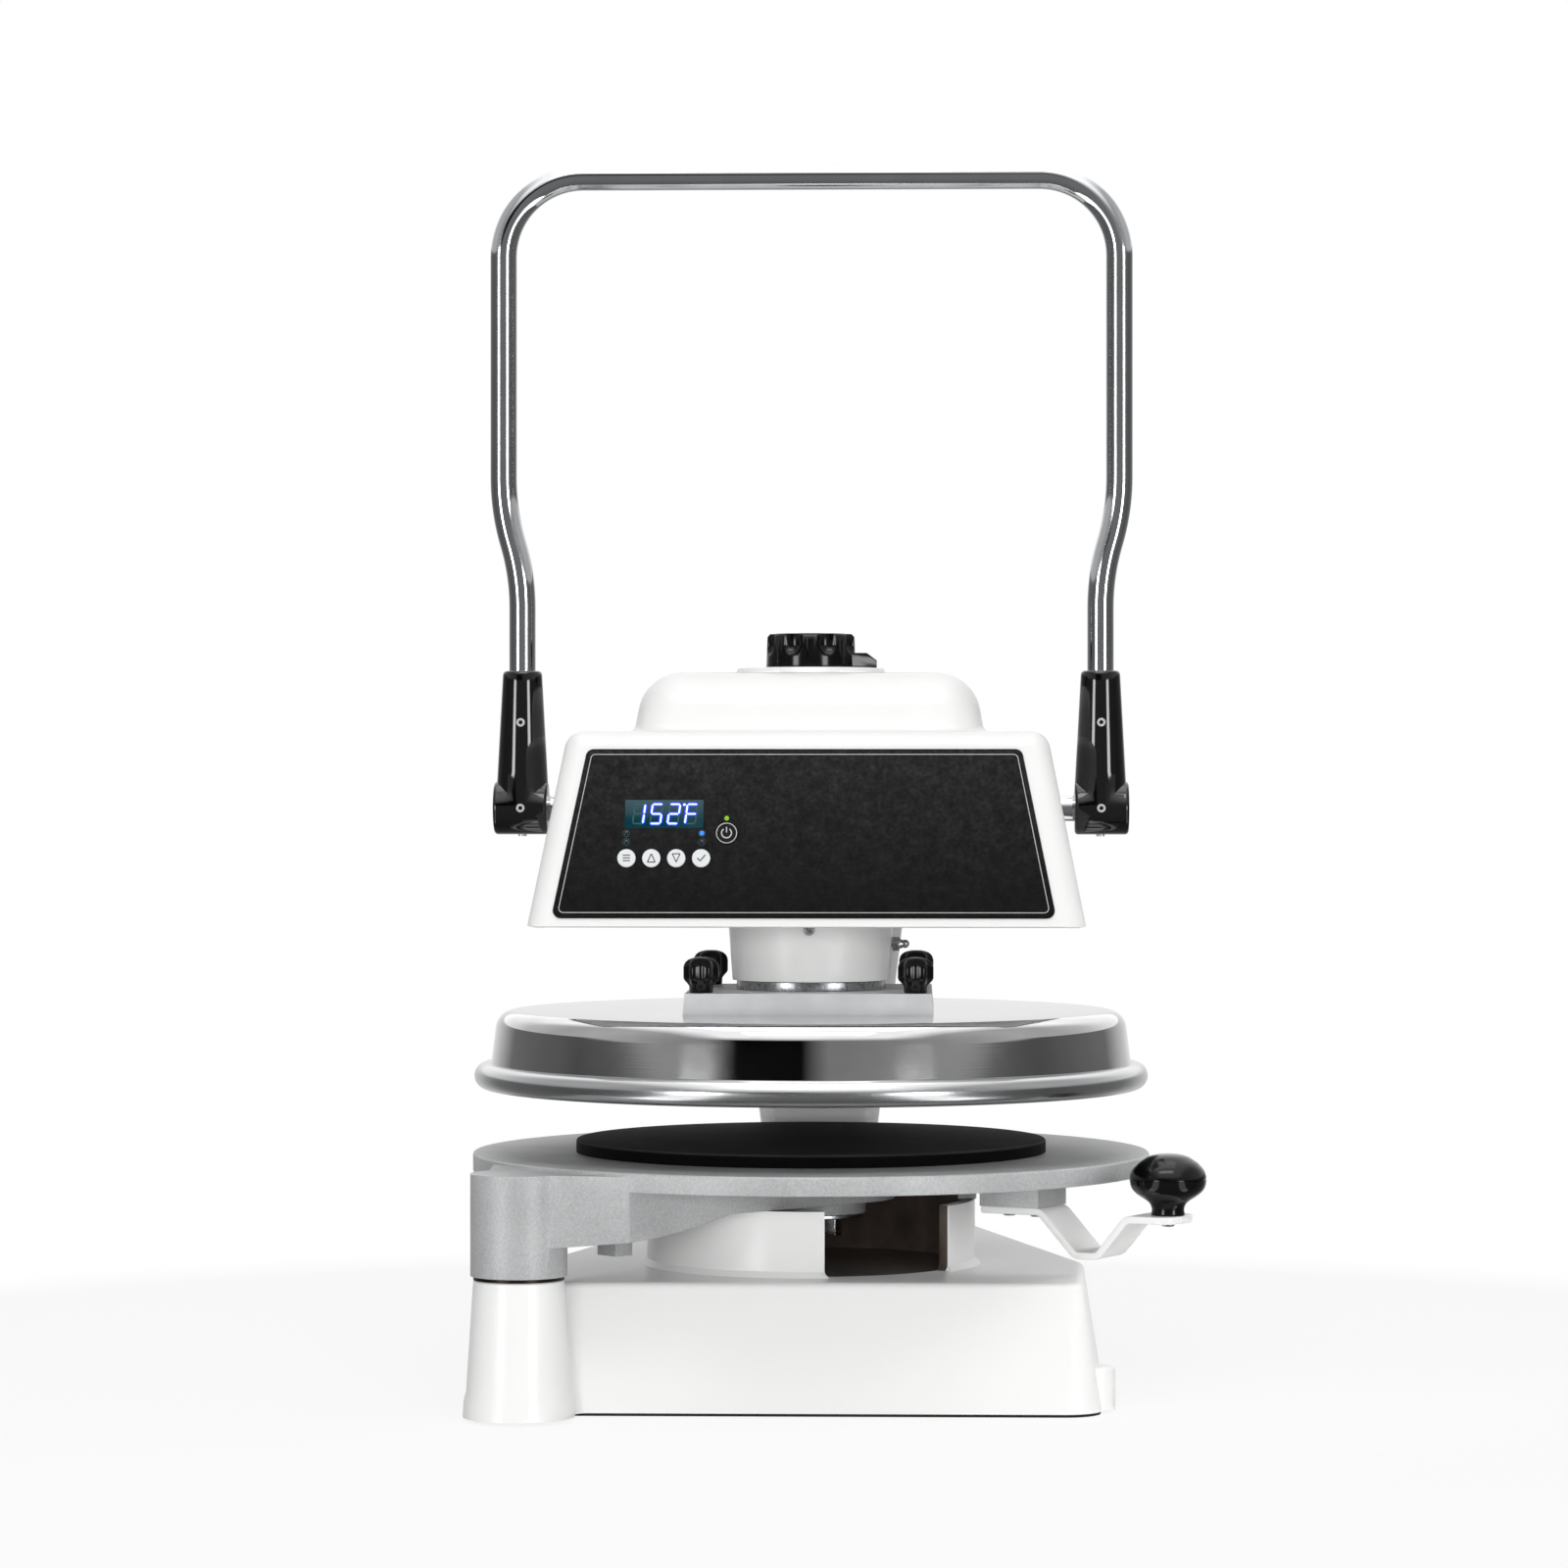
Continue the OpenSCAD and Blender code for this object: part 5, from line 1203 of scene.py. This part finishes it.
class PRESS_OT_grip(bpy.types.Operator):
    """Bend the grip strap and turn its knob"""

    bl_idname = "press.grip"
    bl_label = "Swing Grip"

    strap_start = 145.0
    strap_turn = 26.6
    strap_w = 43.0
    strap_t = 5.0
    strap_dip = 29.0
    strap_edge = 1.0
    bend_r = 5.0
    bend_steps = 8
    end_r = 12.0
    end_steps = 10
    # Length along the strap and height of its underside at each bend.
    strap_bends = ((0.0, 0.0), (44.12, 0.0), (71.0, -29.0), (90.0, -29.0), (112.0, -2.6), (147.0, -2.6))
    screws = (12.18, 32.94, 133.0)
    screw_hole = 3.05
    screw_edge = 0.8
    # Radius and height of the knob, as shares.
    knob_shares = (
        (0.0, 0.0), (0.43, 0.0), (0.44, 0.015), (0.425, 0.06), (0.42, 0.1), (0.44, 0.15), (0.49, 0.2),
        (0.58, 0.245), (0.72, 0.3), (0.83, 0.35), (0.91, 0.4), (0.955, 0.445), (0.985, 0.5), (0.998, 0.56),
        (1.0, 0.578), (0.982, 0.586), (0.982, 0.6), (0.998, 0.608), (0.99, 0.64), (0.97, 0.68),
        (0.935, 0.73), (0.89, 0.77), (0.846, 0.8), (0.78, 0.845), (0.7, 0.88), (0.65, 0.9), (0.55, 0.94),
        (0.43, 0.967), (0.27, 0.988), (0.0, 1.0),
    )

    def along(self, s, across, z):
        """Place on the strap: along it from its inner end, across it and up."""
        a = math.radians(self.strap_turn)
        out = self.strap_start + s
        return Vector((out * math.cos(a) + across * math.sin(a), across * math.cos(a) - out * math.sin(a), z))

    def strap_line(self):
        """Middle of the strap's thickness as (place, direction) pairs, with an arc in every bend."""
        points = [Vector(p) for p in self.strap_bends]
        ways = [(b - a).normalized() for a, b in zip(points, points[1:])]
        r = self.bend_r + self.strap_t / 2
        up = Vector((0.0, self.strap_t / 2))
        line = [(points[0] + up, ways[0])]
        for point, before, after in zip(points[1:], ways, ways[1:]):
            turn = -before.angle_signed(after)
            mitre = Vector((-before.y - after.y, before.x + after.x))
            start = point + mitre * self.strap_t / mitre.length_squared - before * r * math.tan(abs(turn) / 2)
            inward = Vector((-before.y, before.x)) * math.copysign(1.0, turn)
            for k in range(self.bend_steps + 1):
                a = abs(turn) * k / self.bend_steps
                line.append((start + r * (math.sin(a) * before + (1 - math.cos(a)) * inward),
                             math.cos(a) * before + math.sin(a) * inward))
        return line + [(points[-1] + up, ways[-1])]

    def strap(self):
        """Flat bar with round edges, bent down and up again, with a rounded end and holes for its screws."""
        z = mm_box("grip_strap")[0].z + self.strap_dip
        half, r, e = self.strap_w / 2, self.end_r, self.strap_edge
        line = self.strap_line()
        end, way = line.pop()
        stations = [(p, d, half, 0.0) for p, d in line]
        stations[:1] = [(line[0][0], way, half - e, e), (line[0][0] + way * e, way, half, 0.0)]
        for k in range(self.end_steps + 1):
            a = math.radians(90 * k / self.end_steps)
            stations.append((end - way * (r + e - r * math.sin(a)), way, half - r + r * math.cos(a), 0.0))
        stations.append((end, way, half - r - e, e))
        loops = []
        for place, way, wide, inset in stations:
            thick = self.strap_t / 2 - inset
            section = rounded_loop(-wide, wide, -thick, thick, e, 0.0, 4)
            loops.append([self.along(place.x - b * way.y, a, z + place.y + b * way.x) for a, b, _ in section])
        strap = skin("grip_strap_bar", loops)
        low, high = z - 2 * self.strap_t, z + 2 * self.strap_t
        cut(strap, [rod(self.screw_hole, self.along(s, 0, low), self.along(s, 0, high)) for s in self.screws])
        stand_in(strap, powder_coat(), "grip_strap")

    def knob(self):
        """Turned ball with a neck and a fine parting groove."""
        low, high = mm_box("grip_knob")
        centre = ((low.x + high.x) / 2, (low.y + high.y) / 2)
        r = (high.x - low.x) / 2
        profile = [(wide * r, low.z + rise * (high.z - low.z)) for wide, rise in self.knob_shares]
        stand_in(turned("grip_knob_ball", profile, centre, 96), black_phenolic(), "grip_knob", angle=40)

    def execute(self, context):
        self.strap()
        self.knob()
        refined("strap_screws", machined_steel(), self.screw_edge)
        return {"FINISHED"}


def heading(v):
    """Direction of a vector in plan, in degrees."""
    return math.degrees(math.atan2(v.y, v.x))


def past(angle, low):
    """The same direction, as an angle that isn't below low."""
    return angle + 360 * math.ceil((low - angle) / 360)


def short_way(start, end):
    """End of the shorter turn from one direction to another."""
    return start + (end - start + 180) % 360 - 180


class PRESS_OT_base(bpy.types.Operator):
    """Loft the base with its pivot post and foot lug, and finish the pedestal and column"""

    bl_idname = "press.base"
    bl_label = "Base And Column"

    front_half = 189.0
    side_half = 194.0
    rear_half = 110.0
    front = -149.0
    side_y = 3.0
    rear = 350.0
    corner_r = 12.0
    top_h = 88.0
    wall_levels = (0, 1.5, 11, 17, 40)
    draft = 14.0
    edge_r = 4.5
    pivot = (-194.0, -180.0)
    post_r = 31.0
    post_draft = 6.0
    post_foot = 40
    post_flare = 3.2
    post_edge = 1.0
    toe_h = 17
    toe_fade = 6
    toe_out = 1.2
    lug = (197.0, -125.0)
    lug_r = 15.0
    lug_h = 29.0
    lug_flare = 0.8
    lug_edge = 1.5
    wall = 8.0
    hollow_gain = 0.5
    roof_round = 4
    roof_outs = (1.0, -3.0)

    def fillet(self, corner, post, corner_r, post_r, r, side):
        """Centre of a hollow that touches the corner's arc and the post, on one side of their line."""
        line = post - corner
        d = line.length
        a, b = corner_r + r, post_r + r
        along = (a * a - b * b + d * d) / (2 * d)
        across = math.sqrt(max(a * a - along * along, 0.0))
        unit = line / d
        return corner + along * unit + side * across * Vector((-unit.y, unit.x))

    def turns(self):
        """Directions that the right side's two stretches face, in degrees."""
        c = self.corner_r
        front = math.atan2(self.front_half - self.side_half, self.side_y - self.front - c)
        rear = math.atan2(self.side_half - self.rear_half, self.rear - c - self.side_y)
        return math.degrees(front), math.degrees(rear)

    def corners(self, r):
        """Plan points of every corner but the left front one."""
        c = self.corner_r
        first, second = self.turns()
        points = arc(self.front_half - c, self.front + c, r, -90, first, 10)
        points += arc(self.side_half - c, self.side_y, r, first, second, 5)
        points += arc(self.rear_half - c, self.rear - c, r, second, 90, 10)
        points += arc(c - self.rear_half, self.rear - c, r, 90, 180 - second, 10)
        return points + arc(c - self.side_half, self.side_y, r, 180 - second, 180 - first, 5)

    def hollow(self, foot, top):
        """Shape of the base's open underside."""
        c = self.corner_r
        roof = top - self.wall
        heights = (foot - self.wall, roof - self.roof_round, roof)
        loops = []
        for z, out in zip(heights, (self.draft, *self.roof_outs)):
            r = c + out - self.wall + self.hollow_gain
            left = arc(c - self.front_half, self.front + c, r, 180 - self.turns()[0], 270, 10)
            loops.append([(x, y, z) for x, y in self.corners(r) + left])
        return skin("hollow", loops)

    def outline(self, z, out, post_r):
        """Level outline of the base and its post, moved out by the draft, with a hollow beside the post."""
        r = self.corner_r + out
        hollow = sizes()["post_blend"]
        post = Vector(self.pivot)
        corner = Vector((self.corner_r - self.front_half, self.front + self.corner_r))
        left = self.fillet(corner, post, r, post_r, hollow, -1)
        right = self.fillet(corner, post, r, post_r, hollow, 1)
        touch = right - corner
        on_front = touch.x > 0
        if on_front:
            y = self.front - out - hollow
            x = post.x + math.sqrt(max((post_r + hollow) ** 2 - (y - post.y) ** 2, 0.0))
            right = Vector((x, y))
        points = self.corners(r)
        points += arc(*corner, r, 180 - self.turns()[0], past(heading(left - corner), 90), 8)
        start = heading(corner - left)
        points += arc(*left, hollow, start, short_way(start, heading(post - left)), 8)
        start = past(heading(left - post), 90)
        points += arc(*post, post_r, start, past(heading(right - post), start), 36)
        start = heading(post - right)
        end = 90.0 if on_front else heading(corner - right)
        points += arc(*right, hollow, start, short_way(start, end), 8)
        points += [points[-1]] * 5 if on_front else arc(*corner, r, past(heading(touch), 180), 270, 4)
        return [(x, y, z) for x, y in points]

    def shell(self, foot, top, post_top):
        """Drafted shell with a round top edge and a toe at the post's foot, open below."""
        round_z = top - self.edge_r
        levels = [(foot + h, 0) for h in self.wall_levels] + [(round_z, 0)]
        levels += [(round_z + self.edge_r * math.sin(math.radians(a)), a) for a in range(15, 91, 15)]
        loops = []
        for z, turn in levels:
            h = z - foot
            out = self.draft * (1 - h / (top - foot)) - self.edge_r * (1 - math.cos(math.radians(turn)))
            post = self.post_r + self.post_draft * (1 - h / (post_top - foot))
            toe = max(min((self.toe_h - h) / self.toe_fade, 1.0), 0.0)
            loops.append(self.outline(z, out, post + self.toe_out * toe))
        shell = skin("base_shell", loops)
        cut(shell, [self.hollow(foot, top)])
        return shell

    def execute(self, context):
        low, high = mm_box("base_casting")
        foot, post_top = low.z, high.z
        shell = self.shell(foot, foot + self.top_h, post_top)
        r, e, z = self.post_r, self.post_edge, self.post_foot
        profile = [(0, z), (r + self.post_flare, z), (r, post_top - e), (r - e, post_top), (0, post_top)]
        post = turned("pivot_post", profile, self.pivot, 96)
        r, e, z = self.lug_r, self.lug_edge, foot + self.lug_h
        profile = [(0, foot), (r + self.lug_flare, foot), (r, z - e), (r - e, z), (0, z)]
        lug = turned("foot_lug", profile, self.lug, 64)
        stand_in(joined("base_casting_body", [shell, post, lug]), base_paint(), "base_casting", angle=40)
        edge = sizes()["casting_edge"]
        refined("pedestal", pedestal_paint(), edge, angle=40, shade=40)
        refined("column_casting", powder_coat(), edge, angle=40)
        return {"FINISHED"}


class PRESS_OT_knob_and_fasteners(bpy.types.Operator):
    """Finish the thickness knob, the screws, the bolts, the nipple and the gland"""

    bl_idname = "press.fasteners"
    bl_label = "Knob And Fasteners"

    knob_edge = 0.9
    screw_edge = 0.5
    gland_edge = 0.6

    def execute(self, context):
        refined("thickness_knob", black_phenolic(), self.knob_edge, angle=40, shade=45)
        for node in ("column_bolts", "grease_nipple", "neck_screw", "cover_screws"):
            refined(node, machined_steel(), self.screw_edge, 2)
        refined("cable_gland", black_phenolic(), self.gland_edge, 2)
        return {"FINISHED"}


class PRESS_OT_inner_works(bpy.types.Operator):
    """Give the pieces that keep their CAD shape their finishes"""

    bl_idname = "press.inner_works"
    bl_label = "Inner Works"

    def execute(self, context):
        kinds = {"bronze": bearing_bronze, "steel": machined_steel, "iron": grey_iron,
                 "foot_rubber": foot_rubber, "board": coated_board}
        for node, item in frame["nodes"].items():
            if not item.hide_render:
                # The thrust washer is painted dark as the shade in the gap under the post's hub.
                kind = shaded_washer_bronze if node == "thrust_washer" else kinds[SLOT_OF[node]]
                item.data.materials.clear()
                item.data.materials.append(kind())
        return {"FINISHED"}


class PRESS_OT_stage(bpy.types.Operator):
    """Lay the floor, set the lamps and the world, and place the camera"""

    bl_idname = "press.stage"
    bl_label = "Stage"

    # Floor: millimetres for its shape, metres for its fade, and its least share of white.
    floor_radii = (0.0, 300.0, 1400.0)
    floor_z = -0.2
    floor_fade = (0.3, 1.1)
    floor_white = 0.86
    # Name, place, target and size in metres, power in watts, whether metal mirrors it, spread in degrees.
    soft_boxes = (
        ("key_box", (0, -1.25, 2.13), (0, -0.1, 0.49), (1.4, 0.7), 12, True, 180),
        ("top_box", (0, 0.1, 2.4), (0, 0, 0), (1.6, 1.2), 6, True, 180),
        ("front_fill", (0, -3.6, 0.5), (0, 0, 0.35), (2.6, 0.8), 57, False, 180),
        ("floor_bounce", (0.42, -0.3, 0.03), (0.27, -0.2, 0.17), (0.3, 0.2), 0.06, False, 180),
        ("side_box", (1.1, 0.15, 0.42), (0.22, -0.14, 0.13), (0.3, 0.3), 0.16, False, 30),
    )
    # Greys of the mirrored room from behind the camera (0) to behind the object (1), low down and higher up.
    level_room = ((0.0, 0.2), (0.05, 0.2), (0.2, 0.16), (0.5, 0.11), (0.85, 0.2), (1.0, 0.9))
    upper_room = ((0.0, 0.28), (0.2, 0.42), (0.45, 0.6), (0.65, 0.55), (0.8, 0.75), (1.0, 1.4))
    brightest = 2.0
    horizon = (0.145, 0.16)
    # Lowest and highest part of a direction that each thing in the room takes up, and its softness.
    front_span = (-0.1, 0.4, 0.05)
    strip_sides = (0.52, 0.7, 0.02)
    strip_foot = (-2.0, -0.12, 0.08)
    canopy_rise = (0.45, 2.0, 0.15)
    canopy_sides = (-1.0, 0.55, 0.1)
    figure_sides = (-0.5, 0.05, 0.08)
    figure_rise = (0.0, 0.34, 0.04)
    strip_grey = 10.0
    foot_grey = 1.6
    canopy_grey = 1.5
    figure_grey = 0.003
    fill_grey = 0.42
    # Camera: place and direction in metres, lens and sensor in millimetres.
    eye = (0.0857, -3.5, 0.4312)
    gaze = (-0.03, 1.0, 0.0)
    lens = 112.5
    sensor = 36.0
    far = 50.0

    def floor(self):
        """Pale round floor that keeps the shadow and fades to the white backdrop."""
        angles = circle(96)
        rims = [[(r * math.cos(a), r * math.sin(a), self.floor_z) for a in angles] for r in self.floor_radii]
        piece = skin("floor", rims, fill=False)
        material, tree, shader = finish("pale_floor", Roughness=0.9, Specular_IOR_Level=0.0,
                                        Base_Color=linear("#F4F4F4"))
        if tree:
            near, far = self.floor_fade
            radius = add(tree, "SeparateXYZ", {"Vector": around_axis(tree)}).outputs["X"]
            fade = add(tree, "MapRange", {"Value": radius, "From Min": near, "From Max": far},
                       interpolation_type="SMOOTHSTEP")
            pale = add(tree, "Math", {0: fade, 1: self.floor_white}, operation="MAXIMUM")
            seen = add(tree, "LightPath").outputs["Is Camera Ray"]
            share = add(tree, "Math", {0: pale, 1: seen}, operation="MULTIPLY")
            white = add(tree, "Emission", {"Color": grey(1.0), "Strength": 1.0})
            mixed = add(tree, "MixShader", {0: share, 1: shader, 2: white})
            plug(tree, tree.nodes["Material Output"], {"Surface": mixed})
        piece.data.materials.append(material)
        piece.visible_glossy = False

    def lamp(self, name, place, target, size, power, mirrored, spread):
        """Soft box turned to its target; a fill box isn't mirrored in the metal."""
        data = bpy.data.lights.new(name, "AREA")
        data.shape = "RECTANGLE"
        data.size, data.size_y = size
        data.energy = power
        data.spread = math.radians(spread)
        item = bpy.data.objects.new(name, data)
        item.location = place
        item.rotation_euler = (Vector(target) - Vector(place)).to_track_quat("-Z", "Y").to_euler()
        item.visible_glossy = mirrored
        item.visible_camera = False
        bpy.context.scene.collection.objects.link(item)

    def room(self, tree, ahead, greys):
        """Greys of the room by how far ahead a direction points; a ramp holds shares of the brightest."""
        stops = tuple((place, grey(value / self.brightest)) for place, value in greys)
        ramp = add(tree, "ValToRGB", {"Fac": ahead}, stops=stops)
        return add(tree, "VectorMath", {0: ramp, "Scale": self.brightest}, operation="SCALE")

    def within(self, tree, value, low, high, soft):
        """Mask of the values between two bounds, with soft edges."""
        rise = add(tree, "MapRange", {"Value": value, "From Min": low - soft, "From Max": low + soft})
        fall = add(tree, "MapRange", {"Value": value, "From Min": high + soft, "From Max": high - soft})
        return add(tree, "Math", {0: rise, 1: fall}, operation="MULTIPLY")

    def laid(self, tree, ground, value, *masks):
        """Ground with an even grey laid over it where all the masks meet."""
        meeting = masks[0]
        for mask in masks[1:]:
            meeting = add(tree, "Math", {0: meeting, 1: mask}, operation="MULTIPLY")
        return add(tree, "Mix", {0: meeting, 6: ground, 7: grey(value)}, data_type="RGBA")

    def mirrored_room(self, tree):
        """What bright pieces mirror: a grey room with two light strips, a canopy and a dark figure."""
        where = add(tree, "SeparateXYZ", {"Vector": add(tree, "TexCoord").outputs["Generated"]}).outputs
        ahead = add(tree, "MapRange", {"Value": where["Y"], "From Min": -1.0})
        aside = add(tree, "Math", {0: where["X"]}, operation="ABSOLUTE")
        front = self.within(tree, ahead, *self.front_span)
        strips = self.within(tree, aside, *self.strip_sides)
        feet = self.within(tree, where["Z"], *self.strip_foot)
        level = self.room(tree, ahead, self.level_room)
        level = self.laid(tree, level, self.strip_grey, strips, front)
        level = self.laid(tree, level, self.foot_grey, strips, front, feet)
        canopy = (self.within(tree, where["Z"], *self.canopy_rise),
                  self.within(tree, aside, *self.canopy_sides))
        figure = (self.within(tree, where["X"], *self.figure_sides),
                  self.within(tree, where["Z"], *self.figure_rise))
        above = self.room(tree, ahead, self.upper_room)
        above = self.laid(tree, above, self.canopy_grey, *canopy)
        above = self.laid(tree, above, self.figure_grey, *figure, front)
        low, high = self.horizon
        raised = add(tree, "MapRange", {"Value": where["Z"], "From Min": low, "From Max": high})
        return add(tree, "Mix", {0: raised, 6: level, 7: above}, data_type="RGBA")

    def world(self):
        """White backdrop for the camera, the mirrored room for bright pieces, and an even fill."""
        world = bpy.data.worlds.new("studio")
        bpy.context.scene.world = world
        world.use_nodes = True
        tree = world.node_tree
        path = add(tree, "LightPath").outputs
        rays = {0: path["Is Glossy Ray"], 1: path["Is Transmission Ray"]}
        mirrored = add(tree, "Math", rays, operation="MAXIMUM")
        room = self.mirrored_room(tree)
        fill = add(tree, "Mix", {0: mirrored, 6: grey(self.fill_grey), 7: room}, data_type="RGBA")
        seen = add(tree, "Mix", {0: path["Is Camera Ray"], 6: fill, 7: grey(1.0)}, data_type="RGBA")
        plug(tree, tree.nodes["Background"], {"Color": seen})

    def camera(self):
        """Level camera in front, a little to the right, with a long lens."""
        data = bpy.data.cameras.new("camera")
        data.sensor_width = self.sensor
        data.lens = self.lens
        data.clip_end = self.far
        item = bpy.data.objects.new("camera", data)
        item.location = self.eye
        item.rotation_euler = Vector(self.gaze).to_track_quat("-Z", "Y").to_euler()
        bpy.context.scene.collection.objects.link(item)
        bpy.context.scene.camera = item

    def execute(self, context):
        context.scene.view_settings.view_transform = "Standard"
        self.floor()
        self.world()
        for box in self.soft_boxes:
            self.lamp(*box)
        self.camera()
        return {"FINISHED"}


OPERATORS = (
    PRESS_OT_base, PRESS_OT_head_cover, PRESS_OT_front_panel, PRESS_OT_display, PRESS_OT_buttons,
    PRESS_OT_handle, PRESS_OT_upper_platen, PRESS_OT_lower_platen, PRESS_OT_grip,
    PRESS_OT_knob_and_fasteners, PRESS_OT_inner_works, PRESS_OT_stage,
)


class PRESS_PT_panel(bpy.types.Panel):
    """Lists the sizes, the colours and the pieces of the press"""

    bl_idname = "PRESS_PT_panel"
    bl_label = "Dough Press"
    bl_space_type = "VIEW_3D"
    bl_region_type = "UI"
    bl_category = "Dough Press"

    def draw(self, context):
        for group in (context.scene.press_sizes, context.scene.press_colours):
            column = self.layout.column()
            for name in group.__annotations__:
                column.prop(group, name)
        for operator in OPERATORS:
            self.layout.operator(operator.bl_idname)


CLASSES = (PressSizes, PressColours) + OPERATORS + (PRESS_PT_panel,)


def register():
    """Register the classes and their properties."""
    for item in CLASSES:
        bpy.utils.register_class(item)
    bpy.types.Scene.press_sizes = bpy.props.PointerProperty(type=PressSizes)
    bpy.types.Scene.press_colours = bpy.props.PointerProperty(type=PressColours)


def unregister():
    """Remove the properties and the classes."""
    del bpy.types.Scene.press_colours
    del bpy.types.Scene.press_sizes
    for item in reversed(CLASSES):
        bpy.utils.unregister_class(item)


def main():
    register()
    for operator in OPERATORS:
        group, name = operator.bl_idname.split(".")
        getattr(getattr(bpy.ops, group), name)()


if __name__ == "__main__":
    main()
